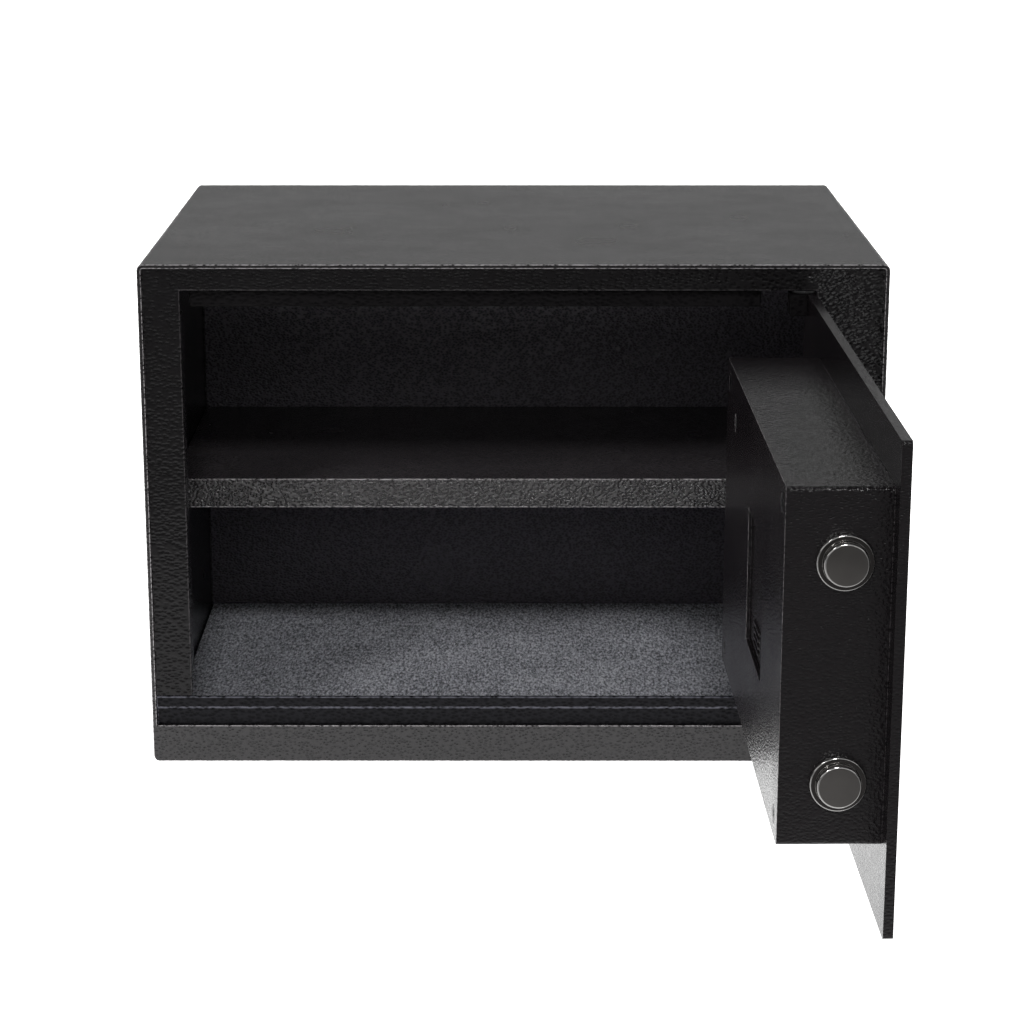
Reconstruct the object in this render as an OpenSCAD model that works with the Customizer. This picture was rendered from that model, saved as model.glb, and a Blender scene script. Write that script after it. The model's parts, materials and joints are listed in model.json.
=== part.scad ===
// Small steel safe with an inset door, a motor-free keypad lock and two round locking bolts.
// X runs across the front, Y from front to back, Z up. The origin is the middle of the base.
// The door is drawn shut and swung open about its hinge line by door_open.

/* [Body] */
// Outer width of the body
body_w = 350; // [320:1:380]
// Outer depth of the body
body_d = 250; // [220:1:290]
// Outer height of the body
body_h = 245; // [230:1:270]
// Thickness of the body's sheet steel
shell_t = 2; // [1.5:0.1:2.4]
// Outer radius of the body's four long edges
edge_r = 3; // [2.6:0.1:5]
// How far the back plate sits in from the rear edge
back_inset = 1; // [0.5:0.1:4]

/* [Front frame] */
// Width of the front face on the bolt side, from the outside of the body
jamb_w = 19.5; // [17:0.5:21]
// Width of the front face on the hinge side, from the outside of the body
hinge_jamb_w = 33.4; // [32:0.1:40]
// Height of the front face above the door, from the top of the body
head_h = 12.5; // [10:0.5:18]
// Height of the folded strip along the foot of the front
kick_h = 18.5; // [14:0.5:22]
// Height of the groove's upper edge above the base
groove_top = 27.3; // [24:0.1:29]
// Height of the sill above the base
sill_h = 33.2; // [31:0.1:38]
// Thickness of the frame's sheet steel
frame_t = 2; // [1.5:0.1:2.2]
// How far the frame and the shut door sit behind the body's front edge
frame_inset = 1.5; // [1:0.1:3]
// How far the sill sits behind the body's front edge
sill_inset = 0.5; // [0.2:0.1:0.9]

/* [Door] */
// Thickness of the door plate
door_t = 4; // [3:0.1:5]
// Gap beside the door's free edge
side_gap = 1; // [0.8:0.1:2]
// Gap above and below the door
end_gap = 1.5; // [1.2:0.1:2.5]
// Radius of the door plate's corners
door_corner_r = 1.5; // [1:0.1:4]
// Angle that the door stands open at rest
door_open = 90.8; // [0:0.1:94]
// Distance of the hinge line behind the door's outer face
hinge_back = 5; // [4.6:0.1:5]
// How far the door plate runs past the hinge line
hinge_tail = 3.8; // [3:0.1:3.8]
// Clearance between the open door and the hinge-side face
open_clear = 0.9; // [0.8:0.1:2]
// Radius of the hinge pins
pin_r = 2.5; // [2:0.1:2.5]
// Length of a hinge pin inside its block
pin_seat = 8; // [5:0.5:9]
// Height of a hinge block
block_h = 10; // [9.5:0.5:16]
// Depth of a hinge block behind the door plate
block_d = 8; // [7:0.5:10]
// Thickness of the brackets that hold the hinge pins
bracket_t = 3; // [2:0.5:4]
// Thickness of the nylon washers on the hinge pins
washer_t = 1.2; // [0.8:0.1:1.3]

/* [Inside of the body] */
// Height of the shelf's top above the base
shelf_z = 120; // [112:1:140]
// Depth of the shelf from front to back
shelf_d = 161; // [130:1:190]
// Thickness of the shelf
shelf_t = 1.5; // [1:0.1:2]
// Height of the shelf's front lip
shelf_lip = 15.3; // [10:0.1:20]
// Width of a shelf rail
rail_w = 15; // [10:1:20]
// Thickness of the felt mat
mat_t = 2.6; // [2:0.1:4]
// Distance between the floor's fixing holes across the body
anchor_x = 220; // [150:5:260]
// Distance between the floor's fixing holes from front to back
anchor_y = 120; // [80:5:160]
// Radius of the fixing holes
anchor_r = 5; // [4:0.5:7]

/* [Lock box] */
// Length of the lock box along the door
box_w = 228; // [222:1:234]
// Height of the lock box
box_h = 142; // [138:1:146]
// Depth of the lock box behind the door plate
box_d = 40.5; // [39.5:0.5:44]
// Sheet thickness of the lock box
box_t = 1.5; // [1:0.1:2]
// Distance of the lock box from the door's free edge
box_start = 11; // [9:0.5:14]
// Distance of the lock box below the door's top edge
box_drop = 20; // [14:1:26]
// Radius of the lock box's corners
box_corner_r = 2; // [1.6:0.1:4]

/* [Bolts] */
// Radius of the locking bolts
bolt_r = 8.5; // [7:0.1:9]
// Distance between the two bolts
bolt_pitch = 87.5; // [80:0.5:92]
// Distance of the bolts' middle below the lock box's middle
bolt_drop = 1.5; // [0:0.25:4]
// Distance of the bolts' axes behind the door plate
bolt_depth = 17.7; // [16.5:0.1:19]
// How far the drawn-back bolts stand out of the lock box
bolt_proud = 6; // [4:0.5:7]
// Travel of the bolts
bolt_travel = 17; // [15:0.5:17.5]
// Outer radius of the bolts' guide rings
ring_r = 11; // [10.5:0.1:12]

/* [Keypad and knob] */
// Width of the keypad housing
pad_w = 160; // [156:1:164]
// Height of the keypad housing
pad_h = 90; // [88:1:94]
// Depth of the keypad housing
pad_d = 10; // [9.5:0.5:12]
// Corner radius of the keypad housing
pad_corner_r = 10; // [6:1:12]
// Distance of the housing's middle from the lock box's middle
pad_shift = 32.5; // [31:0.5:34]
// Width of a key
key_w = 14; // [12:0.5:14]
// Height of a key
key_h = 11; // [9:0.5:11]
// Distance between keys across
key_pitch_x = 18; // [17.5:0.5:18]
// Distance between keys from row to row
key_pitch_z = 16; // [15:0.5:16]
// How far the keys stand out of the housing
key_proud = 1.2; // [1:0.1:2]
// Travel of a key
key_travel = 0.8; // [0.5:0.1:0.9]
// Radius of the knob
knob_r = 20; // [16:0.5:20]
// Height of the knob
knob_h = 18; // [15:0.5:24]
// Distance of the knob from the far end of the lock box
knob_from_end = 31.5; // [29:0.5:32]
// Radius of the override lock's barrel
barrel_r = 9.5; // [8:0.1:9.5]

/* [Hidden] */
$fn = 48;

// Running clearance of shafts, pins and bolts in their holes
run_gap = 0.05;
// Clearance of pieces that slip past each other
slip_gap = 0.3;
// Depth of a cut past the face it goes through
past = 1;

x_left = -body_w / 2;
x_right = body_w / 2;
y_front = -body_d / 2;
y_back = body_d / 2;
inner_left = x_left + shell_t;
inner_right = x_right - shell_t;
inner_w = body_w - 2 * shell_t;
inner_top = body_h - shell_t;

face_y = y_front + frame_inset;
frame_back = face_y + frame_t;
sill_front = y_front + sill_inset;
back_plate_y = y_back - back_inset - shell_t;
opening_left = x_left + jamb_w;
opening_right = x_right - hinge_jamb_w;
opening_top = body_h - head_h;

door_x0 = opening_left + side_gap;
hinge_x = opening_right - open_clear - hinge_back;
hinge_y = face_y + hinge_back;
door_x1 = hinge_x + hinge_tail;
door_z0 = sill_h + end_gap;
door_z1 = opening_top - end_gap;
door_in = face_y + door_t;

box_x0 = door_x0 + box_start;
box_x1 = box_x0 + box_w;
box_z1 = door_z1 - box_drop;
box_z0 = box_z1 - box_h;
box_cx = (box_x0 + box_x1) / 2;
box_cz = (box_z0 + box_z1) / 2;
box_back = door_in + box_d;
box_face = box_back - box_t;

bolt_y = door_in + bolt_depth;
bolt_mid = box_cz - bolt_drop;
bolt_zs = [bolt_mid - bolt_pitch / 2, bolt_mid + bolt_pitch / 2];
bolt_tip = box_x0 - bolt_proud;

pad_cx = box_cx + pad_shift;
pad_cz = box_cz;
pad_front = face_y - pad_d;

knob_x = box_x1 - knob_from_end;
knob_z = box_cz;

// Swings a piece drawn on the shut door out to where the door stands at rest
module on_door() {
    translate([hinge_x, hinge_y, 0])
        rotate([0, 0, door_open])
            translate([-hinge_x, -hinge_y, 0])
                children();
}

// Block between two corners
module block(low, high) {
    translate(low)
        cube(high - low);
}

// Flat outline with round corners, from one corner to the other
module round_rect(low, high, r) {
    size = high - low;
    translate([low[0], low[1] + r])
        square([size[0], size[1] - 2 * r]);
    translate([low[0] + r, low[1]])
        square([size[0] - 2 * r, size[1]]);
    for (x = [low[0] + r, high[0] - r])
        for (z = [low[1] + r, high[1] - r])
            translate([x, z])
                circle(r);
}

// Outline in X and Z made solid from y0 back to y1
module slab(y0, y1) {
    translate([0, y1, 0])
        rotate([90, 0, 0])
            linear_extrude(height = y1 - y0)
                children();
}

// Round bar along Y at a place in X and Z
module bar_y(x, z, r, y0, y1) {
    translate([x, y1, z])
        rotate([90, 0, 0])
            cylinder(r = r, h = y1 - y0);
}

// Round taper along Y that widens from its front end to its back end
module cone_y(x, z, front_r, back_r, y0, y1) {
    translate([x, y1, z])
        rotate([90, 0, 0])
            cylinder(r1 = back_r, r2 = front_r, h = y1 - y0);
}

// Round bar along X at a place in Y and Z
module bar_x(y, z, r, x0, x1) {
    translate([x0, y, z])
        rotate([0, 90, 0])
            cylinder(r = r, h = x1 - x0);
}

// Round bar along Z at a place in X and Y
module bar_z(x, y, r, z0, z1) {
    translate([x, y, z0])
        cylinder(r = r, h = z1 - z0);
}

module outer_shell() {
    color("#1c1c1e")
        difference() {
            union() {
                slab(y_front, y_back)
                    difference() {
                        round_rect([x_left, 0], [x_right, body_h], edge_r);
                        round_rect([inner_left, shell_t], [inner_right, inner_top], edge_r - shell_t);
                    }
                block([inner_left, y_front, shell_t / 2], [inner_right, y_front + shell_t, kick_h]);
            }
            for (x = [-anchor_x / 2, anchor_x / 2])
                for (y = [-anchor_y / 2, anchor_y / 2])
                    bar_z(x, y, anchor_r, -past, shell_t + past);
        }
}

module back_plate() {
    color("#202022")
        slab(back_plate_y, back_plate_y + shell_t)
            round_rect([inner_left, shell_t], [inner_right, inner_top], edge_r - shell_t);
}

module front_frame() {
    color("#1e1e20") {
        block([inner_left, face_y, sill_h], [opening_left, frame_back, inner_top - edge_r + shell_t]);
        block([opening_right, face_y, sill_h], [inner_right, frame_back, inner_top - edge_r + shell_t]);
        slab(face_y, frame_back)
            difference() {
                round_rect([inner_left, opening_top - edge_r], [inner_right, inner_top], edge_r - shell_t);
                translate([inner_left, opening_top - 2 * edge_r])
                    square([inner_w, 2 * edge_r]);
            }
    }
}

// Sill with a shallow groove between it and the strip along the foot
web_front = y_front + shell_t;
module sill_rail() {
    color("#242426") {
        block([inner_left, web_front, shell_t], [inner_right, web_front + frame_t, groove_top]);
        block([inner_left, sill_front, groove_top], [inner_right, web_front + frame_t, groove_top + frame_t]);
        block([inner_left, sill_front, groove_top], [inner_right, sill_front + frame_t, sill_h]);
    }
}

// Angle behind the bolt-side face, whose rear edge the bolts lock behind
strike_gap = 0.5;
strike_ends = 12;
module strike_angle() {
    z0 = sill_h + strike_ends;
    z1 = opening_top - strike_ends;
    color("#3a3a3c") {
        block([inner_left, frame_back, z0], [opening_left, frame_back + frame_t, z1]);
        block([opening_left - frame_t, frame_back, z0], [opening_left, bolt_y - bolt_r - strike_gap, z1]);
    }
}

// Joggled strip behind the head, which the shut door rests against
stop_gap = 0.6;
stop_h = 8.5;
stop_end_gap = 4;
stop_hinge_gap = 20;
module door_stop() {
    x0 = opening_left + stop_end_gap;
    x1 = hinge_x - stop_hinge_gap;
    leg_y = door_in + stop_gap;
    step_z = opening_top + frame_t;
    color("#2a2a2c") {
        block([x0, frame_back, step_z], [x1, frame_back + frame_t, inner_top]);
        block([x0, frame_back, step_z], [x1, leg_y + frame_t, step_z + frame_t]);
        block([x0, leg_y, opening_top - stop_h], [x1, leg_y + frame_t, step_z + frame_t]);
    }
}

// Brackets behind the frame that the hinge pins turn in
bracket_reach = 16;
bracket_side = 12;
module pivot_brackets() {
    upper = [opening_top, opening_top + bracket_t];
    lower = [sill_h - bracket_t, sill_h];
    color("#454548") {
        difference() {
            union() {
                block([hinge_x - bracket_side, frame_back, upper[0]],
                    [opening_right + bracket_side, frame_back + bracket_reach, upper[1]]);
                block([hinge_x - bracket_side, frame_back, upper[0]],
                    [opening_right + bracket_side, frame_back + frame_t, inner_top]);
            }
            bar_z(hinge_x, hinge_y, pin_r + run_gap, upper[0] - past, upper[1] + slip_gap);
        }
        difference() {
            union() {
                block([hinge_x - bracket_side, sill_front + frame_t, lower[0]],
                    [opening_right + bracket_side, frame_back + bracket_reach, lower[1]]);
                block([hinge_x - bracket_side, web_front + frame_t, shell_t],
                    [opening_right + bracket_side, web_front + 2 * frame_t, lower[1]]);
            }
            bar_z(hinge_x, hinge_y, pin_r + run_gap, lower[0] - slip_gap, lower[1] + past);
        }
    }
}

shelf_gap = 0.5;
module shelf() {
    y1 = back_plate_y - shelf_gap;
    y0 = y1 - shelf_d;
    color("#2c2c2e") {
        block([inner_left + shelf_gap, y0, shelf_z - shelf_t], [inner_right - shelf_gap, y1, shelf_z]);
        block([inner_left + shelf_gap, y0, shelf_z - shelf_lip],
            [inner_right - shelf_gap, y0 + shelf_t, shelf_z]);
    }
}

rail_setback = 10;
rail_end_gap = 4;
module shelf_rails() {
    y1 = back_plate_y - rail_end_gap;
    y0 = back_plate_y - shelf_gap - shelf_d + rail_setback;
    top = shelf_z - shelf_t;
    color("#262628")
        for (side = [-1, 1]) {
            wall = side * inner_w / 2;
            leg = wall - side * shelf_t;
            toe = wall - side * rail_w;
            block([min(wall, leg), y0, top - rail_w], [max(wall, leg), y1, top]);
            block([min(wall, toe), y0, top - shelf_t], [max(wall, toe), y1, top]);
        }
}

mat_gap = 1;
module floor_mat() {
    color("#5a6068")
        block([inner_left + mat_gap, web_front + 2 * frame_t + mat_gap, shell_t],
            [inner_right - mat_gap, back_plate_y - mat_gap, shell_t + mat_t]);
}

washer_gap = (end_gap - washer_t) / 2;
washer_rim = 3.4;
module hinge_washers() {
    color("#e8e8e4")
        on_door()
            for (z = [door_z0 - end_gap + washer_gap, door_z1 + washer_gap])
                difference() {
                    bar_z(hinge_x, hinge_y, pin_r + washer_rim, z, z + washer_t);
                    bar_z(hinge_x, hinge_y, pin_r + run_gap, z - past, z + washer_t + past);
                }
}

// Bores that take the hinge pins in the door plate and its blocks
module pin_bores() {
    bar_z(hinge_x, hinge_y, pin_r, door_z1 - pin_seat, door_z1 + past);
    bar_z(hinge_x, hinge_y, pin_r, door_z0 - past, door_z0 + pin_seat);
}

// Holes of the door plate: spindle bush, override lock, cable and housing screws
bush_r = 7;
cable_hole_r = 5;
cable_across = 13;
cable_up = 30;
cable_x = pad_cx - cable_across;
cable_z = pad_cz + cable_up;
screw_r = 2;
pad_screw_inset = 6;
pad_screw_xs = [pad_cx - pad_w / 2 + pad_screw_inset, pad_cx + pad_w / 2 - pad_screw_inset];
pad_screw_zs = [pad_cz - pad_h / 2 + pad_screw_inset, pad_cz + pad_h / 2 - pad_screw_inset];
override_across = 12;
override_down = 28;
override_x = pad_cx + override_across;
override_z = pad_cz - override_down;
module door_plate() {
    color("#1e1e20")
        on_door()
            difference() {
                slab(face_y, door_in)
                    round_rect([door_x0, door_z0], [door_x1, door_z1], door_corner_r);
                pin_bores();
                bar_y(knob_x, knob_z, bush_r, face_y - past, door_in + past);
                bar_y(override_x, override_z, barrel_r + slip_gap, face_y - past, door_in + past);
                bar_y(cable_x, cable_z, cable_hole_r, face_y - past, door_in + past);
                for (x = pad_screw_xs)
                    for (z = pad_screw_zs)
                        bar_y(x, z, screw_r + slip_gap, face_y - past, door_in + past);
            }
}

block_side = 8;
module hinge_blocks() {
    color("#48484a")
        on_door()
            difference() {
                union() {
                    block([hinge_x - block_side, door_in, door_z1 - block_h],
                        [door_x1, door_in + block_d, door_z1]);
                    block([hinge_x - block_side, door_in, door_z0],
                        [door_x1, door_in + block_d, door_z0 + block_h]);
                }
                pin_bores();
            }
}

module hinge_pins() {
    reach = end_gap + bracket_t;
    color("#c8c8ca")
        on_door() {
            bar_z(hinge_x, hinge_y, pin_r, door_z1 - pin_seat, door_z1 + reach);
            bar_z(hinge_x, hinge_y, pin_r, door_z0 - reach, door_z0 + pin_seat);
        }
}

// Where the lock box is screwed to its posts
post_r = 4;
post_inset_x = 11;
post_inset_z = 9;
post_xs = [box_x0 + post_inset_x, box_x1 - post_inset_x];
post_zs = [box_z0 + post_inset_z, box_z1 - post_inset_z];

// Battery bay, behind the lock box's rear face
cell_r = 7.25;
cell_l = 50.5;
cell_pitch = 15.2;
cell_n = 4;
case_t = 1.5;
contact_w = 5.6;
cell_play = 1;
cell_room = 6;
bay_shift = 16.5;
bay_w = cell_l + 2 * (case_t + contact_w);
bay_h = cell_n * cell_pitch + 2 * case_t + cell_play;
bay_d = 2 * cell_r + cell_room;
bay_cx = box_cx - bay_shift;
bay_cz = box_cz;
bay_rim = 3.5;

// Battery cover, which slides up between the rear sheet and two ledges of the case
cover_t = 1.5;
cover_gap = 0.3;
cover_out = box_face - cover_gap;
cover_in = cover_out - cover_t;

reset_across = 39.5;
reset_down = 21;
// Countersunk heads that lie flush in the lock box's sheet
sunk_r = 3.6;
sunk_slope = (sunk_r - screw_r) / box_t;

reset_x = box_x1 - reset_across;
reset_z = box_z1 - reset_down;
reset_r = 3.8;
ring_step = 1;
guide_r = ring_r - ring_step;

module lock_box() {
    color("#18181a")
        on_door()
            difference() {
                slab(door_in, box_back)
                    round_rect([box_x0, box_z0], [box_x1, box_z1], box_corner_r);
                slab(door_in - past, box_face)
                    round_rect([box_x0 + box_t, box_z0 + box_t], [box_x1 - box_t, box_z1 - box_t],
                        max(box_corner_r - box_t, 0.4));
                for (z = bolt_zs)
                    bar_x(bolt_y, z, guide_r, box_x0 - past, box_x0 + box_t + past);
                for (x = post_xs)
                    for (z = post_zs)
                        cone_y(x, z, screw_r + slip_gap - sunk_slope * past,
                            sunk_r + slip_gap + sunk_slope * past, box_face - past, box_back + past);
                block([bay_cx - bay_w / 2 + bay_rim, box_face - past, bay_cz - bay_h / 2 + bay_rim],
                    [bay_cx + bay_w / 2 - bay_rim, box_back + past, bay_cz + bay_h / 2 - bay_rim]);
                bar_y(reset_x, reset_z, reset_r + slip_gap, box_face - past, box_back + past);
            }
}

screw_l = 12;
head_r = 3.8;
head_t = 1.8;
module box_posts() {
    color("#9a9a9c")
        on_door()
            for (x = post_xs)
                for (z = post_zs)
                    difference() {
                        bar_y(x, z, post_r, door_in, box_face);
                        bar_y(x, z, screw_r, box_back - screw_l, box_face + past);
                    }
}

module box_screws() {
    color("#2a2a2c")
        on_door()
            for (x = post_xs)
                for (z = post_zs) {
                    bar_y(x, z, screw_r, box_back - screw_l, box_face + box_t / 2);
                    cone_y(x, z, screw_r, sunk_r, box_face, box_back);
                }
}

ring_t = 2.5;
sleeve_l = 4;
module bolt_rings() {
    sleeve_end = box_x0 + box_t + sleeve_l;
    color("#c9c9cb")
        on_door()
            for (z = bolt_zs)
                difference() {
                    union() {
                        bar_x(bolt_y, z, ring_r, box_x0 - ring_t, box_x0);
                        bar_x(bolt_y, z, guide_r, box_x0, sleeve_end);
                    }
                    bar_x(bolt_y, z, bolt_r + run_gap, box_x0 - ring_t - past, sleeve_end + past);
                }
}

// Carrier: an upright plate that holds the bolts, and an arm that the cam drives
carrier_back = 30.5;
carrier_x = box_x0 + carrier_back;
carrier_t = 3;
tail_r = 4;
tail_over = 1;
nut_t = 5;
nut_r = 7;
bolt_edge = 1;
carrier_margin = 9.5;
carrier_lip = 2;
carrier_gap = 5;
carrier_y0 = door_in + carrier_gap;
arm_below = 12;
arm_above = 20;
arm_z0 = box_cz - arm_below;
arm_z1 = box_cz + arm_above;
arm_end_gap = 3;
arm_x1 = box_x1 - box_t - arm_end_gap;

module locking_bolts() {
    color("#d2d2d4")
        on_door()
            for (z = bolt_zs) {
                translate([bolt_tip, bolt_y, z])
                    rotate([0, 90, 0])
                        cylinder(r1 = bolt_r - bolt_edge, r2 = bolt_r, h = bolt_edge);
                bar_x(bolt_y, z, bolt_r, bolt_tip + bolt_edge, carrier_x);
                bar_x(bolt_y, z, tail_r, carrier_x, carrier_x + carrier_t + nut_t + tail_over);
            }
}

module bolt_nuts() {
    color("#a8a8aa")
        on_door()
            for (z = bolt_zs)
                difference() {
                    translate([carrier_x + carrier_t, bolt_y, z])
                        rotate([0, 90, 0])
                            cylinder(r = nut_r, h = nut_t, $fn = 6);
                    bar_x(bolt_y, z, tail_r, carrier_x, carrier_x + carrier_t + nut_t + past);
                }
}

// The cam's pin starts half a quarter turn past the top and ends as far before it
cam_half = 45;
crank_r = bolt_travel / 2 / sin(cam_half);
crank_pin_r = 2.5;
pin_slot_gap = 0.5;
spindle_r = 4;
spindle_tail_r = 3;
guide_post_r = 3;
guide_gap = 0.1;
guide_along = 22;
guide_up = 4;
guide_x = carrier_x + guide_along;
guide_z = box_cz + guide_up;

// Slot in the arm that lets the arm travel past a round post
module travel_slot(x, z, r, y0, y1) {
    bar_y(x, z, r, y0, y1);
    bar_y(x + bolt_travel, z, r, y0, y1);
    block([x, y0, z - r], [x + bolt_travel, y1, z + r]);
}

module bolt_carrier() {
    slot_x = knob_x + bolt_travel / 2;
    slot_low = knob_z + bolt_travel / 2 - crank_pin_r - pin_slot_gap;
    slot_high = knob_z + crank_r + crank_pin_r + pin_slot_gap;
    y0 = carrier_y0;
    y1 = carrier_y0 + carrier_t;
    color("#8a8a8c")
        on_door()
            difference() {
                union() {
                    block([carrier_x, y0, bolt_zs[0] - carrier_margin],
                        [carrier_x + carrier_t, bolt_y + bolt_r + carrier_lip, bolt_zs[1] + carrier_margin]);
                    block([carrier_x, y0, arm_z0], [arm_x1, y1, arm_z1]);
                }
                for (z = bolt_zs)
                    bar_x(bolt_y, z, tail_r, carrier_x - past, carrier_x + carrier_t + past);
                travel_slot(knob_x, knob_z, spindle_tail_r + guide_gap, y0 - past, y1 + past);
                travel_slot(guide_x, guide_z, guide_post_r + guide_gap, y0 - past, y1 + past);
                block([slot_x - crank_pin_r - pin_slot_gap, y0 - past, slot_low],
                    [slot_x + crank_pin_r + pin_slot_gap, y1 + past, slot_high]);
            }
}

arm_back = carrier_y0 + carrier_t;
flange_t = 1.5;
module guide_post() {
    color("#b0b0b2")
        on_door() {
            bar_y(guide_x, guide_z, guide_post_r, door_in, arm_back + slip_gap);
            bar_y(guide_x, guide_z, 2 * guide_post_r, arm_back + slip_gap, arm_back + slip_gap + flange_t);
        }
}

// Knob with a raised grip across its round foot
knob_foot = 6;
grip_w = 12;
grip_inset = 1;
knob_back = pad_front - slip_gap;
spindle_in_knob = 12;
module knob() {
    color("#202022")
        on_door()
            difference() {
                union() {
                    bar_y(knob_x, knob_z, knob_r, knob_back - knob_foot, knob_back);
                    intersection() {
                        bar_y(knob_x, knob_z, knob_r - grip_inset, knob_back - knob_h, knob_back);
                        block([knob_x - grip_w / 2, knob_back - knob_h, knob_z - knob_r],
                            [knob_x + grip_w / 2, knob_back, knob_z + knob_r]);
                    }
                }
                bar_y(knob_x, knob_z, spindle_r, knob_back - spindle_in_knob, knob_back + past);
            }
}

bush_flange_t = 0.8;
cam_play = 0.2;
cam_arm_gap = 0.5;
cam_y0 = door_in + bush_flange_t + cam_play;
cam_t = carrier_y0 - cam_y0 - cam_arm_gap;
module knob_spindle() {
    color("#b4b4b6")
        on_door() {
            bar_y(knob_x, knob_z, spindle_r, knob_back - spindle_in_knob, cam_y0 + cam_t);
            bar_y(knob_x, knob_z, spindle_tail_r, cam_y0 + cam_t, arm_back + slip_gap + flange_t);
        }
}

bush_flange_r = 9;
module spindle_bush() {
    color("#c8a860")
        on_door()
            difference() {
                union() {
                    bar_y(knob_x, knob_z, bush_r, face_y, door_in);
                    bar_y(knob_x, knob_z, bush_flange_r, door_in, door_in + bush_flange_t);
                }
                bar_y(knob_x, knob_z, spindle_r + run_gap, face_y - past, door_in + past);
            }
}

cam_rim = 3.5;
module drive_cam() {
    color("#98989a")
        on_door()
            difference() {
                union() {
                    bar_y(knob_x, knob_z, crank_r + cam_rim, cam_y0, cam_y0 + cam_t);
                    bar_y(knob_x + bolt_travel / 2, knob_z + bolt_travel / 2, crank_pin_r,
                        cam_y0, arm_back + flange_t);
                }
                bar_y(knob_x, knob_z, spindle_r, cam_y0 - past, cam_y0 + cam_t + past);
            }
}

cam_washer_r = 5;
module cam_screw() {
    y0 = arm_back + slip_gap;
    color("#b8b8ba")
        on_door()
            difference() {
                union() {
                    bar_y(knob_x, knob_z, cam_washer_r, y0, y0 + flange_t);
                    bar_y(knob_x, knob_z, head_r, y0 + flange_t, y0 + flange_t + head_t);
                }
                bar_y(knob_x, knob_z, spindle_tail_r, y0 - past, y0 + flange_t);
            }
}

// Solenoid that blocks the arm from below
coil_across = 14.5;
coil_back = 8;
coil_x = box_cx + coil_across;
coil_y = door_in + coil_back;
coil_r = 6.5;
coil_h = 22;
frame_plate = 1.5;
sol_up = 15;
sol_z0 = box_z0 + sol_up;
sol_z1 = sol_z0 + coil_h + 2 * frame_plate;
sol_half = 11;
plunger_r = 3;
plunger_gap = 0.1;
plunger_tip = arm_z0 - slip_gap;
plunger_head = 3;
plunger_rim = 2;
plunger_travel = 4;
module solenoid_frame() {
    x0 = coil_x - sol_half;
    x1 = coil_x + sol_half;
    lip_y = coil_y + coil_r;
    color("#a0a0a2")
        on_door()
            difference() {
                union() {
                    block([x0, door_in, sol_z0], [x1, door_in + frame_plate, sol_z1]);
                    block([x0, door_in, sol_z0], [x1, lip_y, sol_z0 + frame_plate]);
                    block([x0, door_in, sol_z1 - frame_plate], [x1, lip_y, sol_z1]);
                }
                bar_z(coil_x, coil_y, plunger_r + plunger_gap, sol_z1 - frame_plate - past, sol_z1 + past);
            }
}

module solenoid_coil() {
    color("#8c4a2a")
        on_door()
            difference() {
                bar_z(coil_x, coil_y, coil_r, sol_z0 + frame_plate, sol_z1 - frame_plate);
                bar_z(coil_x, coil_y, plunger_r + plunger_gap, sol_z0, sol_z1);
            }
}

module solenoid_plunger() {
    z0 = sol_z0 + frame_plate + plunger_travel + past;
    color("#c2c2c4")
        on_door() {
            bar_z(coil_x, coil_y, plunger_r, z0, plunger_tip);
            bar_z(coil_x, coil_y, plunger_r + plunger_rim, plunger_tip - plunger_head, plunger_tip);
        }
}

// Helical spring swept as one tube along its own curve
spring_turns = 6;
spring_steps = 10;
spring_sides = 6;
wire_r = 0.35;
spring_gap = 0.4;
spring_r = plunger_r + spring_gap + wire_r;
spring_z0 = sol_z1 + wire_r;
spring_z1 = plunger_tip - plunger_head - wire_r;
function spring_at(i) = let(a = 360 * i / spring_steps, n = spring_turns * spring_steps)
    [spring_r * cos(a), spring_r * sin(a), spring_z0 + (spring_z1 - spring_z0) * i / n];
function spring_ring(i) = let(a = 360 * i / spring_steps, c = spring_at(i))
    [for (k = [0:spring_sides - 1]) let(b = 360 * k / spring_sides)
        c + wire_r * [cos(b) * cos(a), cos(b) * sin(a), sin(b)]];
function tube_faces(rings, sides) = concat(
    [[for (k = [0:sides - 1]) k]],
    [[for (k = [sides - 1:-1:0]) (rings - 1) * sides + k]],
    [for (i = [0:rings - 2], k = [0:sides - 1]) let(m = (k + 1) % sides)
        [i * sides + k, (i + 1) * sides + k, (i + 1) * sides + m]],
    [for (i = [0:rings - 2], k = [0:sides - 1]) let(m = (k + 1) % sides)
        [i * sides + k, (i + 1) * sides + m, i * sides + m]]);
module plunger_spring() {
    rings = spring_turns * spring_steps + 1;
    color("#bcbcbe")
        on_door()
            translate([coil_x, coil_y, 0])
                polyhedron([for (i = [0:rings - 1]) each spring_ring(i)], tube_faces(rings, spring_sides));
}

// Override lock: barrel, nut, turning plug and the cam lever behind it
barrel_reach = 17;
barrel_sunk = 1.5;
barrel_back = door_in + barrel_reach;
barrel_front = pad_front + barrel_sunk;
plug_r = 5.5;
plug_lip = 0.4;
lock_nut_r = 13;
lock_nut_t = 4;
slot_w = 1.4;
slot_h = 7;
slot_deep = 12;
module lock_barrel() {
    color("#bdbdbf")
        on_door()
            difference() {
                bar_y(override_x, override_z, barrel_r, barrel_front, barrel_back);
                bar_y(override_x, override_z, plug_r + run_gap, barrel_front - past, barrel_back + past);
            }
}

module lock_nut() {
    color("#a4a4a6")
        on_door()
            difference() {
                translate([override_x, door_in + lock_nut_t, override_z])
                    rotate([90, 0, 0])
                        cylinder(r = lock_nut_r, h = lock_nut_t, $fn = 6);
                bar_y(override_x, override_z, barrel_r, door_in - past, door_in + lock_nut_t + past);
            }
}

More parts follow.
